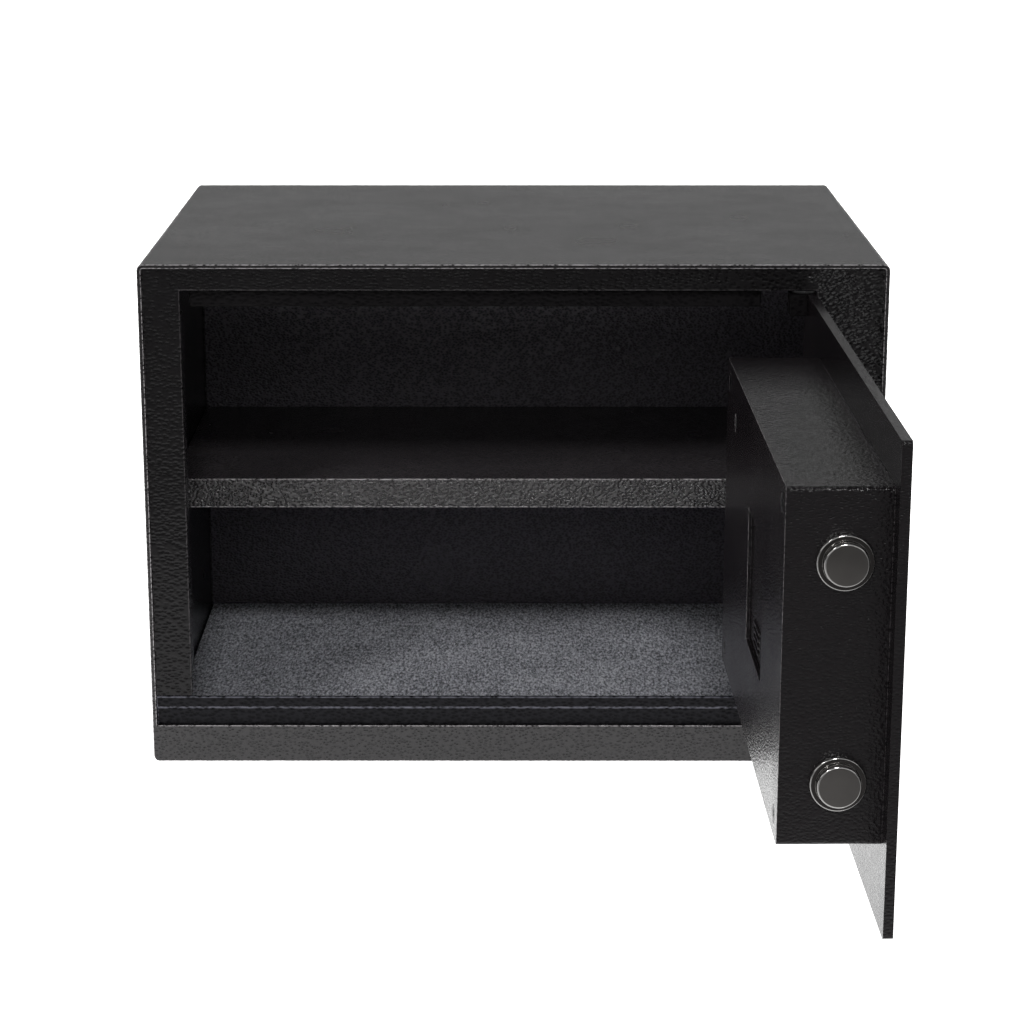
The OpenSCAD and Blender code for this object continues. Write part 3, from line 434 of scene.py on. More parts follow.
def wornOver(tree, colour, wornAndGlint, broken):
    # the edge colour, partly wear and partly a painted highlight, shows on rolled edges, broken up by a noise
    wearAndGlint = addStep(tree, "ShaderNodeAttribute", {}, attribute_name="edgeWearAndGlint").node.outputs["Fac"]
    return addStep(tree, "ShaderNodeMix", {
        "Factor": mathNode(tree, "MULTIPLY", wearAndGlint, broken), "A": colour, "B": (*wornAndGlint, 1)}, data_type="RGBA")


# The body's black coat, and what each sheet has of its own
hammertoneLook = {
    "cellsPerMetre": 420, "flatten": 1.5, "pit": (0.08, 0.80), "finePerMetre": 1500, "fine": 0.22,
    "bump": 1.0, "depth": 0.00034, "cloudsPerMetre": 22.0, "rough": (0.18, 0.28), "gloss": 0.38,
    # the worn colour here and in the looks below shows on rolled edges: partly wear, partly a painted
    # highlight
    "dark": (0.0050, 0.0044, 0.0050), "light": (0.0150, 0.0134, 0.0146), "wornAndGlint": (0.050, 0.046, 0.048),
    "pitShare": 0.7, "cloudShare": 0.4, "stops": (0.15, 0.95),
    "gritFrom": 0.0, "gritFade": 0.012, "gritDepth": 1.0, "gritGloss": 0.38,
}
shallowLook = dict(  # the door's coat lies flatter
    hammertoneLook, cellsPerMetre=600, depth=0.00016, finePerMetre=2100, fine=0.9, rough=(0.15, 0.24),
    dark=(0.0036, 0.0026, 0.0033), light=(0.0110, 0.0086, 0.0100), wornAndGlint=(0.24, 0.22, 0.23))
shellLook = dict(
    hammertoneLook, cellsPerMetre=560, depth=0.00014, light=(0.0200, 0.0184, 0.0192), wornAndGlint=(0.36, 0.34, 0.35))
deepLook = dict(  # the shelf's lip is the roughest
    hammertoneLook, cellsPerMetre=600, depth=0.00042, gloss=0.75, gritGloss=0.75, rough=(0.13, 0.22),
    dark=(0.0080, 0.0070, 0.0078), light=(0.0320, 0.0290, 0.0305), wornAndGlint=(0.35, 0.33, 0.34))
# painted light: the back panel's inner face gets a coat many times lighter than the body's
paintedLightBackLook = dict(
    hammertoneLook, cellsPerMetre=640, depth=0.00026, gloss=0.6, gritGloss=0.6,
    dark=(0.0470, 0.0415, 0.0520), light=(0.1370, 0.1240, 0.1510))
# painted light: the shelf's top face, lighter than the rest of the shelf
paintedLightTrayLook = dict(paintedLightBackLook, dark=(0.0340, 0.0300, 0.0325), light=(0.1020, 0.0915, 0.0990))
dullShadedSillLook = dict(  # the sill is duller, and its darker colour is painted shade of its recess
    hammertoneLook, depth=0.00030, gloss=0.08, gritGloss=0.08, rough=(0.34, 0.44),
    dark=(0.0026, 0.0025, 0.0032), light=(0.0090, 0.0088, 0.0108), wornAndGlint=(0.10, 0.10, 0.12))
frameLook = dict(  # gritty right of the door
    hammertoneLook, depth=0.00022, gloss=0.18, gritFrom=0.135, gritDepth=3.4, gritGloss=0.22,
    rough=(0.20, 0.30), dark=(0.0020, 0.0017, 0.0020), light=(0.0080, 0.0072, 0.0078))
stopLook = dict(
    frameLook, gloss=0.05, gritDepth=1.0, gritGloss=0.05, rough=(0.40, 0.50), wornAndGlint=(0.004, 0.004, 0.004))


def hammertonePaint(name, look):
    # shallow pits with raised rims, flatter than wide on the upright faces
    paint, tree, shader, place = startPaint(name)

    def grit(left, right):
        start = look["gritFrom"]
        return rangeNode(tree, axisOf(tree, place, "X"), start, start + look["gritFade"], left, right)

    cells = addStep(tree, "ShaderNodeTexVoronoi", {
        "Vector": stretchNode(tree, place, (1.0, 1.0, look["flatten"])), "Scale": look["cellsPerMetre"]})
    pit = rangeNode(tree, cells, *look["pit"], 0.0, 1.0, "SMOOTHSTEP")
    fine = noiseNode(tree, place, look["finePerMetre"], detail=1.0, rough=0.5)
    height = mathNode(tree, "ADD", pit, mathNode(tree, "MULTIPLY", fine, look["fine"]))
    height = mathNode(tree, "MULTIPLY", height, grit(1.0, look["gritDepth"]))
    cloud = noiseNode(tree, place, look["cloudsPerMetre"], detail=2.0, rough=0.6)
    mixed = mathNode(tree, "ADD", mathNode(tree, "MULTIPLY", pit, look["pitShare"]),
                     mathNode(tree, "MULTIPLY", cloud, look["cloudShare"]))
    colour = rampNode(tree, mixed, [*zip(look["stops"], (look["dark"], look["light"]))])
    feed(tree, shader, {"Base Color": wornOver(tree, colour, look["wornAndGlint"], pit),
                        "Roughness": rangeNode(tree, cloud, *noiseReach, *look["rough"]),
                        "Specular IOR Level": grit(look["gloss"], look["gritGloss"]),
                        "Normal": bumpNode(tree, height, look["bump"], look["depth"])})
    return paint


# Metals and plastics: colour, edge colour of wear and painted highlight, roughness from and to, grain per
# metre, bump
metalRows = {
    "chrome": ((0.62, 0.61, 0.60), (0.72, 0.71, 0.70), (0.09, 0.17), 900.0, 0.05),
    "steel": ((0.40, 0.40, 0.41), (0.55, 0.55, 0.55), (0.26, 0.42), 500.0, 0.10),
    "brass": ((0.62, 0.46, 0.20), (0.74, 0.60, 0.34), (0.20, 0.34), 700.0, 0.06),
    "copper": ((0.55, 0.22, 0.10), (0.70, 0.34, 0.18), (0.28, 0.40), 2400.0, 0.25),
    "black_screw": ((0.035, 0.035, 0.038), (0.12, 0.12, 0.12), (0.28, 0.42), 800.0, 0.08),
}
plasticRows = {
    "black_plastic": ((0.014, 0.014, 0.015), (0.035, 0.035, 0.036), (0.36, 0.50), 1700.0, 0.35),
    "key_plastic": ((0.60, 0.60, 0.58), (0.70, 0.70, 0.68), (0.34, 0.46), 2300.0, 0.14),
    "nylon": ((0.74, 0.73, 0.69), (0.60, 0.58, 0.54), (0.40, 0.55), 1500.0, 0.10),
    "circuit_green": ((0.012, 0.085, 0.032), (0.10, 0.12, 0.06), (0.25, 0.40), 1200.0, 0.12),
    "lens": ((0.42, 0.035, 0.022), (0.50, 0.06, 0.04), (0.08, 0.16), 900.0, 0.03),
    "cell_wrap": ((0.20, 0.24, 0.27), (0.30, 0.32, 0.34), (0.25, 0.38), 600.0, 0.05),
    "cable_red": ((0.30, 0.022, 0.016), (0.34, 0.05, 0.04), (0.40, 0.52), 1600.0, 0.10),
}
metal = {"metallic": 1.0, "cloud": (60.0, 4.0, 0.6), "darker": 0.82, "grain": (3.0, 0.6), "depth": 0.00004}
plastic = {"metallic": 0.0, "cloud": (90.0, 3.0, 0.55), "darker": 0.84, "grain": (2.0, 0.5), "depth": 0.00006}


def plainPaint(name, kind, colour, wornAndGlint, rough, grain, bump):
    # a clouded colour over a fine grain, with wear and a painted highlight on the rolled edges
    paint, tree, shader, place = startPaint(name)
    cloud = noiseNode(tree, place, *kind["cloud"])
    darker = tuple(c * kind["darker"] for c in colour)
    clouded = rampNode(tree, cloud, [*zip(noiseReach, (darker, colour))])
    height = noiseNode(tree, place, grain, *kind["grain"])
    feed(tree, shader, {"Metallic": kind["metallic"], "Base Color": wornOver(tree, clouded, wornAndGlint, cloud),
                        "Roughness": rangeNode(tree, cloud, *noiseReach, *rough),
                        "Normal": bumpNode(tree, height, bump, kind["depth"])})
    return paint


feltLook = {"specksPerMetre": 860.0, "long": 0.36, "cloudsPerMetre": 30.0, "cloud": 0.14, "sheen": 0.25,
            "gloss": 0.2, "dark": (0.060, 0.063, 0.076), "mid": (0.420, 0.428, 0.490),
            "light": (0.870, 0.875, 0.930), "stops": (0.38, 0.5, 0.62), "rough": (0.82, 1.0), "bump": 0.9,
            "depth": 0.0005}


def feltPaint(name, look):
    paint, tree, shader, place = startPaint(name)
    stretched = stretchNode(tree, place, (1.0, look["long"], 1.0))
    speck = noiseNode(tree, stretched, look["specksPerMetre"], detail=3.0, rough=0.7)
    cloud = noiseNode(tree, place, look["cloudsPerMetre"], detail=3.0, rough=0.6)
    mixed = mathNode(tree, "ADD", mathNode(tree, "MULTIPLY", speck, 1 - look["cloud"]),
                     mathNode(tree, "MULTIPLY", cloud, look["cloud"]))
    colour = rampNode(tree, mixed, [*zip(look["stops"], (look["dark"], look["mid"], look["light"]))])
    feed(tree, shader, {"Base Color": colour,
                        "Roughness": rangeNode(tree, speck, *noiseReach, *look["rough"]),
                        "Sheen Weight": look["sheen"], "Specular IOR Level": look["gloss"],
                        "Normal": bumpNode(tree, speck, look["bump"], look["depth"])})
    return paint


paints = {"hammertone_black": hammertonePaint("hammertoneBlack", hammertoneLook),
          "felt": feltPaint("feltGrey", feltLook)}
for slotName, row in metalRows.items():
    paints[slotName] = plainPaint(slotName + "Metal", metal, *row)
for slotName, row in plasticRows.items():
    paints[slotName] = plainPaint(slotName + "Plastic", plastic, *row)

# Coats of single parts, and lighter ones on faces that look the given way, painted light
ownCoats = {"shelf": ("Deep", deepLook), "sill_rail": ("Sill", dullShadedSillLook), "front_frame": ("Frame", frameLook),
            "door_stop": ("Stop", stopLook), "outer_shell": ("Shell", shellLook)}
coats = {node: hammertonePaint("hammertone" + ending, look) for node, (ending, look) in ownCoats.items()}
coats["back_plate"] = coats["outer_shell"]
coats["pivot_brackets"] = coats["door_stop"]
inside = {"back_plate": ((0, -1, 0), hammertonePaint("hammertonePaintedLightBack", paintedLightBackLook)),
          "shelf": ((0, 0, 1), hammertonePaint("hammertonePaintedLightTray", paintedLightTrayLook))}
shallowBlack = hammertonePaint("hammertoneShallow", shallowLook)
for nodeName, bodyName in bodyOf.items():
    if bodyName != "body" and slotOf[nodeName] == "hammertone_black":
        coats[nodeName] = shallowBlack
coats["hinge_blocks"] = coats["door_stop"]
coats["hinge_washers"] = paints["black_plastic"]
coats["battery_cover"] = hammertonePaint("hammertoneCover", dict(shallowLook, wornAndGlint=shallowLook["light"]))
for nodeName, thing in frame["nodes"].items():
    if not thing.data.materials:
        thing.data.materials.append(None)
    for slot in thing.material_slots:
        slot.material = paints[slotOf[nodeName]]
print("safe: materials made,", len(paints))

# The steel body: each folded sheet with its own bend radius
bodySheets = {
    "bodyShell": ("outer_shell", 0.0008, 3), "backPanel": ("back_plate", 0.0005, 2),
    "doorFrame": ("front_frame", 0.0005, 2), "sillFold": ("sill_rail", 0.0009, 3),
    "strikeAngle": ("strike_angle", 0.0005, 2), "doorStop": ("door_stop", 0.0005, 2),
    "pivotBrackets": ("pivot_brackets", 0.0005, 2), "shelfTray": ("shelf", 0.0010, 4),
    "shelfRails": ("shelf_rails", 0.0005, 2),
}
for pieceName, row in bodySheets.items():
    finePiece(pieceName, *row)

# Tack welds in the corner between the shell's rear edge and the back panel
tackWelds = {"spacing": 0.058, "bead": 0.0007, "stretch": 3.2, "smallest": 0.75, "inset": 0.0024,
             "proud": 0.0002, "seed": 7}


def tackTree(values):
    tree, given, sent = startTree("tackWelds", ["spacing", "bead", "stretch"])
    size = given.outputs
    seam = addStep(tree, "GeometryNodeMeshToCurve", {"Mesh": size["Geometry"]})
    spots = addStep(tree, "GeometryNodeCurveToPoints", {
        "Curve": seam, "Length": size["spacing"]}, mode="LENGTH")
    bead = addStep(tree, "GeometryNodeMeshIcoSphere", {"Radius": size["bead"], "Subdivisions": 3})
    bead = addStep(tree, "GeometryNodeTransform", {
        "Geometry": bead, "Scale": threeOf(tree, 1.0, 1.0, size["stretch"])})
    varied = addStep(tree, "FunctionNodeRandomValue", {
        "Min": values["smallest"], "Max": 1.0, "Seed": values["seed"]})
    endTree(tree, sent, spots, bead, paints["hammertone_black"], {
        "Rotation": spots.node.outputs["Rotation"], "Scale": varied})
    return tree


def makeTacks(values):
    low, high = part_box("outer_shell")
    x0, x1 = low[0] + values["inset"], high[0] - values["inset"]
    z0, z1 = low[2] + values["inset"], high[2] - values["inset"]
    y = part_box("back_plate")[1][1] + values["proud"]
    corners = [(x0, y, z0), (x1, y, z0), (x1, y, z1), (x0, y, z1)]
    welds = runTree("tackWelds", tackTree(values), corners, [(0, 1), (1, 2), (2, 3), (3, 0)], values)
    settle(welds, "back_plate", replace=False)


makeTacks(tackWelds)
print("safe: body made")

# Felt mat: one thick sheet, its top a little uneven and its cut edge softened
matCloth = {"cell": 0.0024, "uneven": 0.00045, "wavesPerMetre": 45, "edge": 0.0016, "edgeDrop": 0.6}


def feltMat(values):
    low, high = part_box("floor_mat")
    wide, deep = high[0] - low[0], high[1] - low[1]
    columns, rows = round(wide / values["cell"]), round(deep / values["cell"])
    bm = bmesh.new()
    top, under = {}, {}
    for j in range(rows + 1):
        for i in range(columns + 1):
            x, y = low[0] + wide * i / columns, low[1] + deep * j / rows
            wave = 0.5 + 0.5 * noise.noise(Vector((x, y, 0.3)) * values["wavesPerMetre"])
            fromEdge = min(x - low[0], high[0] - x, y - low[1], high[1] - y)
            soft = values["edge"] * max(0.0, 1 - fromEdge / values["edge"]) ** 2 * values["edgeDrop"]
            top[i, j] = bm.verts.new((x, y, high[2] - values["uneven"] * wave - soft))
            under[i, j] = bm.verts.new((x, y, low[2]))
    for j in range(rows):
        for i in range(columns):
            cell = [(i, j), (i + 1, j), (i + 1, j + 1), (i, j + 1)]
            bm.faces.new([top[c] for c in cell])
            bm.faces.new([under[c] for c in cell])
    rim = [(i, 0) for i in range(columns)] + [(columns, j) for j in range(rows)]
    rim += [(i, rows) for i in range(columns, 0, -1)] + [(0, j) for j in range(rows, 0, -1)]
    band(bm, [under[c] for c in rim], [top[c] for c in rim])
    mat = settle(meshObject("floorMat", faceOut(bm)), "floor_mat", smooth=60)


feltMat(matCloth)
print("safe: mat laid")

# The door: sheet parts, hinges and the box behind them
doorParts = {
    "doorPlate": ("door_plate", 0.0010, 4), "lockCase": ("lock_box", 0.0008, 3),
    "hingeBlocks": ("hinge_blocks", 0.0006, 3), "hingePins": ("hinge_pins", 0.0004, 2),
    "hingeWashers": ("hinge_washers", 0.0002, 2), "batteryDoor": ("battery_cover", 0.0004, 3),
    "boxPosts": ("box_posts", 0.0003, 2), "spindleBush": ("spindle_bush", 0.0002, 2),
    "lockNut": ("lock_nut", 0.0004, 2), "lockPlug": ("lock_plug", 0.00025, 2),
    "driveCam": ("drive_cam", 0.0003, 2), "boltCarrier": ("bolt_carrier", 0.0003, 2),
    "solenoidFrame": ("solenoid_frame", 0.0003, 2), "batteryCase": ("battery_case", 0.0003, 2),
}
for pieceName, row in doorParts.items():
    finePiece(pieceName, *row)

# Locking bolts with a rounded nose, and the rings they slide through
boltShape = {"radius": 0.0085, "nose": 0.0006, "noseLong": 0.00036, "dome": 0.0003, "neck": 0.004,
             "neckEdge": 0.0004, "step": 0.009, "play": 0.0001, "ringEdge": 0.0009, "ringLip": 0.0005,
             "ringStep": 0.001, "ringStepEdge": 0.0002, "sheet": 0.0025, "endFacing": 0.97, "steps": 96}
# the end faces' colours are far darker than chrome: painted shade
endFaces = {"boltFace": ((0.20, 0.190, 0.182), (0.5, 0.5, 0.5), (0.16, 0.24), 1400.0, 0.06),
            "ringFace": ((0.075, 0.070, 0.068), (0.3, 0.3, 0.3), (0.20, 0.30), 1400.0, 0.06)}
boltFace, ringFace = (plainPaint(name + "Metal", metal, *row) for name, row in endFaces.items())


def darkEnd(bm, facing):
    # the end face is given a darker colour than the plated sides: painted shade, for the dark surroundings it
    # reflects
    for face in bm.faces:
        face.material_index = 1 if face.normal.x < -facing else 0
    return bm


def makeBolts(values):
    low, high = shutBox("locking_bolts")
    ringLow, ringHigh = shutBox("bolt_rings")
    y = (low.y + high.y) / 2
    radius, nose, dome, neck, soft = (values[k] for k in ("radius", "nose", "dome", "neck", "neckEdge"))
    step = high.x - values["step"]
    outer, bore = (ringHigh.y - ringLow.y) / 2, radius + values["play"]
    inner, sheet = outer - values["ringStep"], ringLow.x + values["sheet"]
    front, back = ringLow.x, ringHigh.x
    bolts, rings = bmesh.new(), bmesh.new()
    for z in (ringLow.z + outer, ringHigh.z - outer):
        bolt = lathe([(low.x, 0, 0), (low.x + dome, radius - nose, nose),
                      (low.x + dome + values["noseLong"], radius, nose), (step, radius, soft),
                      (step, neck, 0), (high.x, neck, soft), (high.x, 0, 0)],
                     (0, y, z), steps=values["steps"])
        joinInto(bolts, darkEnd(bolt, values["endFacing"]))
        ring = lathe([(back, bore, 0), (back, inner, 0), (sheet, inner, 0),
                      (sheet, outer, values["ringStepEdge"]), (front, outer, values["ringEdge"]),
                      (front, bore, values["ringLip"]), (back, bore, 0)],
                     (0, y, z), steps=values["steps"])
        joinInto(rings, darkEnd(ring, values["endFacing"]))
    doorPiece("lockBolts", bolts, "locking_bolts", [paints["chrome"], boltFace])
    doorPiece("boltRings", rings, "bolt_rings", [paints["chrome"], ringFace])


makeBolts(boltShape)

# Countersunk screws with a cross recess, set flush in the lock case
caseScrews = {"headRadius": 0.0036, "headDepth": 0.0015, "shankRadius": 0.0021, "crossLength": 0.004,
              "crossWidth": 0.0009, "crossDepth": 0.0022, "headSides": 40, "shankSides": 24, "seed": 3,
              "mostTurn": 1.5}


def screwTree(values):
    tree, given, sent = startTree("caseScrews", [
        "headRadius", "headDepth", "shankRadius", "shankLength", "crossLength", "crossWidth", "crossDepth"])
    size = given.outputs

    def raised(shape, height):
        return addStep(tree, "GeometryNodeTransform", {
            "Geometry": shape, "Translation": threeOf(tree, 0.0, 0.0, height)})

    underHead = mathNode(tree, "MULTIPLY", size["headDepth"], -1.0)
    head = raised(addStep(tree, "GeometryNodeMeshCone", {
        "Vertices": values["headSides"], "Radius Top": size["headRadius"],
        "Radius Bottom": size["shankRadius"], "Depth": size["headDepth"]}), underHead)
    bars = tree.nodes.new("GeometryNodeJoinGeometry")
    for x, y in (("crossLength", "crossWidth"), ("crossWidth", "crossLength")):
        reach = threeOf(tree, size[x], size[y], size["crossDepth"])
        feed(tree, bars, {"Geometry": addStep(tree, "GeometryNodeMeshCube", {"Size": reach})})
    cut = addStep(tree, "GeometryNodeMeshBoolean", {}, operation="DIFFERENCE", solver="EXACT")
    feed(tree, cut.node, {"Self Intersection": True, "Mesh 1": head, "Mesh 2": bars.outputs["Geometry"]})
    half = mathNode(tree, "MULTIPLY", size["shankLength"], 0.5)
    shank = raised(addStep(tree, "GeometryNodeMeshCylinder", {
        "Vertices": values["shankSides"], "Radius": size["shankRadius"], "Depth": size["shankLength"]}),
        mathNode(tree, "SUBTRACT", underHead, half))
    screw = tree.nodes.new("GeometryNodeJoinGeometry")
    for piece in (cut, shank):
        feed(tree, screw, {"Geometry": piece})
    turned = addStep(tree, "FunctionNodeRandomValue", {"Max": values["mostTurn"], "Seed": values["seed"]})
    endTree(tree, sent, size["Geometry"], screw.outputs["Geometry"], paints["black_screw"], {
        "Rotation": threeOf(tree, 0.0, 0.0, turned)})
    return tree


def makeScrews(values):
    low, high = shutBox("box_screws")
    head = values["headRadius"]
    sizes = dict(values, shankLength=high.y - low.y - values["headDepth"])
    spots = [(x, -z, high.y) for x in (low.x + head, high.x - head) for z in (low.z + head, high.z - head)]
    screws = runTree("caseScrews", screwTree(values), spots, [], sizes, rotation(-90, "X"), swing=True)
    settle(screws, "box_screws")


makeScrews(caseScrews)

# Reset button with a shallow dish, under the case's rear face
resetShape = {"edge": 0.0006, "dish": 0.0004, "dishFrom": 0.72, "dishTo": 0.5, "dishEdge": 0.0005,
              "stem": 0.0015, "cap": 0.004, "soft": 0.0003}


def makeReset(values):
    low, high = shutBox("reset_button")
    radius, stem, soft = (high.z - low.z) / 2, values["stem"], values["soft"]
    cap, dish = high.y - values["cap"], high.y - values["dish"]
    bm = lathe([(low.y, 0, 0), (low.y, stem, 0), (cap, stem, 0), (cap, radius, soft),
                (high.y, radius, values["edge"]), (high.y, radius * values["dishFrom"], soft),
                (dish, radius * values["dishTo"], values["dishEdge"]), (dish, 0, 0)], (low + high) / 2, "y")
    doorPiece("resetButton", bm, "reset_button")


makeReset(resetShape)
print("safe: door made")

# Keypad housing with a soft front edge, a raised bead round the keys and marks round the knob
keypadShape = {"edge": 0.002, "edgeSteps": 5, "rim": 0.003, "holeEdge": 0.0003, "holesFrom": 0.004,
               "mostCorners": 12, "flat": 0.9999, "beadWidth": 0.001, "beadHeight": 0.0002,
               "beadCorner": 0.003, "beadGap": 0.0008, "beadSunk": 0.0001}


def makeHousing(values):
    low, high = shutBox("keypad_housing")

    def fromSide(edge):
        middle = (edge.verts[0].co + edge.verts[1].co) / 2
        return min(middle.x - low.x, high.x - middle.x, middle.z - low.z, high.z - middle.z)

    bm = mergedCopy("keypad_housing", shut=True)
    rollEdges(bm, values["edge"], values["edgeSteps"],
              chosen=lambda e: liesAt(e, low.y) and fromSide(e) < values["rim"])
    rollEdges(bm, values["holeEdge"], steps=2,
              chosen=lambda e: liesAt(e, low.y) and fromSide(e) > values["holesFrom"])
    wide = [face for face in bm.faces if len(face.verts) > values["mostCorners"]]
    bmesh.ops.triangulate(bm, faces=wide, quad_method="BEAUTY", ngon_method="BEAUTY")
    housing = doorPiece("keypadHousing", bm, "keypad_housing", smooth=40)
    outward = openDoor.to_3x3() @ Vector((0, -1, 0))
    for polygon in housing.data.polygons:
        if polygon.normal.dot(outward) > values["flat"]:  # the flat front is shaded flat
            polygon.use_smooth = False
    evenShading(housing)

    first, last = shutBox("key_1"), shutBox("key_enter")
    gap, width, corner = values["beadGap"], values["beadWidth"], values["beadCorner"]
    x0, x1, z0, z1 = first[0].x - gap, last[1].x + gap, last[0].z - gap, first[1].z + gap
    inner = roundedRectangle(x0, x1, z0, z1, corner - width)
    outer = roundedRectangle(x0 - width, x1 + width, z0 - width, z1 + width, corner)
    bead = plateFrom(outer, low.y + values["beadSunk"], low.y - values["beadHeight"], inner)
    doorPiece("keyBead", bead, "keypad_housing", [paints["steel"]], replace=False)


makeHousing(keypadShape)

# Marks at the knob's two ends of travel
dialMarks = {"markCount": 7, "ring": 0.0226, "long": 0.002, "wide": 0.0007, "high": 0.00016, "from": 0.0,
             "sweep": 90.0}


def dialTree(values, finish):
    tree, given, sent = startTree("dialMarks", ["markCount", "ring", "long", "wide", "high"])
    size = given.outputs
    arc = addStep(tree, "GeometryNodeCurveArc", {
        "Resolution": size["markCount"], "Radius": size["ring"],
        "Start Angle": math.radians(values["from"]), "Sweep Angle": math.radians(values["sweep"])})
    spots = addStep(tree, "GeometryNodeCurveToPoints", {"Curve": arc, "Count": size["markCount"]})
    reach = threeOf(tree, size["long"], size["wide"], size["high"])
    bar = addStep(tree, "GeometryNodeMeshCube", {"Size": reach})
    outward = addStep(tree, "FunctionNodeAlignRotationToVector", {
        "Vector": addStep(tree, "GeometryNodeInputPosition", {})}, axis="X")
    endTree(tree, sent, spots, bar, finish, {"Rotation": outward})
    return tree


knobLow, knobHigh = shutBox("knob")
knobMiddle = (knobLow + knobHigh) / 2


def facingAt(y):
    # turns what lies flat upright, and sets it on the knob's line at this depth
    return Matrix.Translation((knobMiddle.x, y, knobMiddle.z)) @ rotation(90, "X")


def makeDial(values):
    finish = paints["key_plastic"]
    place = facingAt(shutBox("keypad_housing")[0].y)
    marks = runTree("dialMarks", dialTree(values, finish), [(0, 0, 0)], [], values, place, swing=True)
    settle(marks, "keypad_housing", [finish], replace=False)


makeDial(dialMarks)

# Knob: a ribbed foot under a waisted grip with a pale pointer
knobShape = {"footHeight": 0.006, "footEdge": 0.0012, "footInset": 0.0008, "footSoft": 0.0004,
             "footSides": 96, "gripWidth": 0.012, "waist": 0.0016, "gripEdge": 0.0018, "gripInset": 0.001,
             "gripEnd": 14, "gripSide": 24, "pointerWide": 0.0013, "pointerLong": 0.009,
             "pointerInset": 0.0022, "pointerProud": 0.00004, "sunk": 0.0002}
knobRibs = {"ribCount": 44, "sideCount": 10, "ring": 0.01945, "rib": 0.00055, "tall": 0.0044}


def ribTree(values, finish):
    tree, given, sent = startTree("knobRibs", list(values))
    size = given.outputs
    ring = addStep(tree, "GeometryNodeMeshCircle", {"Vertices": size["ribCount"], "Radius": size["ring"]})
    rib = addStep(tree, "GeometryNodeMeshCylinder", {
        "Vertices": size["sideCount"], "Radius": size["rib"], "Depth": size["tall"]})
    endTree(tree, sent, ring, rib, finish, {})
    return tree


def gripOutline(values, reach):
    # round at both ends and drawn in at the waist
    half, ends, sides = values["gripWidth"] / 2, values["gripEnd"], values["gripSide"]
    widest = math.asin(half / reach)
    turns = [widest - 2 * widest * k / ends for k in range(ends + 1)]
    outline = [(reach * math.sin(a), reach * math.cos(a)) for a in turns]
    for k in range(1, sides):
        z = reach * math.cos(widest) * (1 - 2 * k / sides)
        outline.append((-half + values["waist"] * math.cos(z / reach * math.pi / 2) ** 2, z))
    return outline + [(-x, -z) for x, z in outline]


def makeKnob(values):
    front, back = knobLow.y, knobHigh.y
    radius = (knobHigh.x - knobLow.x) / 2
    top, rim = back - values["footHeight"], radius - values["footInset"]
    foot = lathe([(back, 0, 0), (back, rim, values["footSoft"]), (top, rim, values["footEdge"]), (top, 0, 0)],
                 knobMiddle, "y", values["footSides"])
    reach = radius - values["gripInset"]
    outline = [(x + knobMiddle.x, z + knobMiddle.z) for x, z in gripOutline(values, reach)]
    grip = plateFrom(outline, top + values["sunk"], front)
    rollEdges(grip, values["gripEdge"], steps=4, chosen=lambda e: liesAt(e, front))
    doorPiece("knobBody", joinInto(foot, grip), "knob", smooth=50)
    long, wide = values["pointerLong"], values["pointerWide"] / 2
    z1 = knobMiddle.z + reach - values["pointerInset"]
    strip = roundedRectangle(knobMiddle.x - wide, knobMiddle.x + wide, z1 - long, z1,
                             wide * mesher["roundEnd"], steps=5)
    strip = plateFrom(strip, front + values["sunk"], front - values["pointerProud"])
    doorPiece("knobPointer", strip, "knob", [paints["key_plastic"]], replace=False)
    place = facingAt(back - values["footHeight"] / 2)
    tree = ribTree(knobRibs, paints["black_plastic"])
    settle(runTree("knobRibs", tree, [(0, 0, 0)], [], knobRibs, place, swing=True), "knob", replace=False)


makeKnob(knobShape)

# Twelve keys: a soft-edged cap with its sign printed on it
keyShape = {"edge": 0.001, "cap": 0.0036, "signSize": 0.0074, "signThick": 0.00012, "signBold": 0.00016,
            "signSteps": 4}
keySigns = {f"key_{digit}": str(digit) for digit in range(1, 10)}
keySigns.update({"key_clear": "*", "key_0": "0", "key_enter": "#"})
ink = plainPaint("keyInk", plastic, (0.012, 0.012, 0.014), (0.03, 0.03, 0.03), (0.40, 0.50), 2000.0, 0.05)


def makeKey(node, sign, values):
    low, high = shutBox(node)
    bm = mergedCopy(node, shut=True)

    def onCap(edge):
        depths = [v.co.y for v in edge.verts]
        return max(depths) < low.y + values["cap"] and min(depths) < low.y + mesher["planeWithin"]

    rollEdges(bm, values["edge"], steps=4, chosen=onCap)
    word = lettering(sign, values)
    word.transform(Matrix.Translation(((low.x + high.x) / 2, low.y, (low.z + high.z) / 2)))
    joinInto(bm, word, 1)
    name = node.replace("key_", "keyCap_")
    doorPiece(name, bm, node, [paints["key_plastic"], ink], smooth=40)


for node, sign in keySigns.items():
    makeKey(node, sign, keyShape)

# Three signal lights: ready, low batteries, wrong code
lensColours = {"lensGreen": (0.02, 0.20, 0.05), "lensAmber": (0.42, 0.18, 0.02),
               "lensRed": (0.40, 0.025, 0.018)}
lightShape = {"lens": 0.002, "lensEdge": 0.0003, "crown": 0.72, "crownAt": 0.35, "crownEdge": 0.0006,
              "rim": 0.0028, "rimEdge": 0.0002, "dome": 0.0009, "step": 0.0044, "coat": 0.6, "sides": 40,
              "wornAndGlintLighter": 1.3}


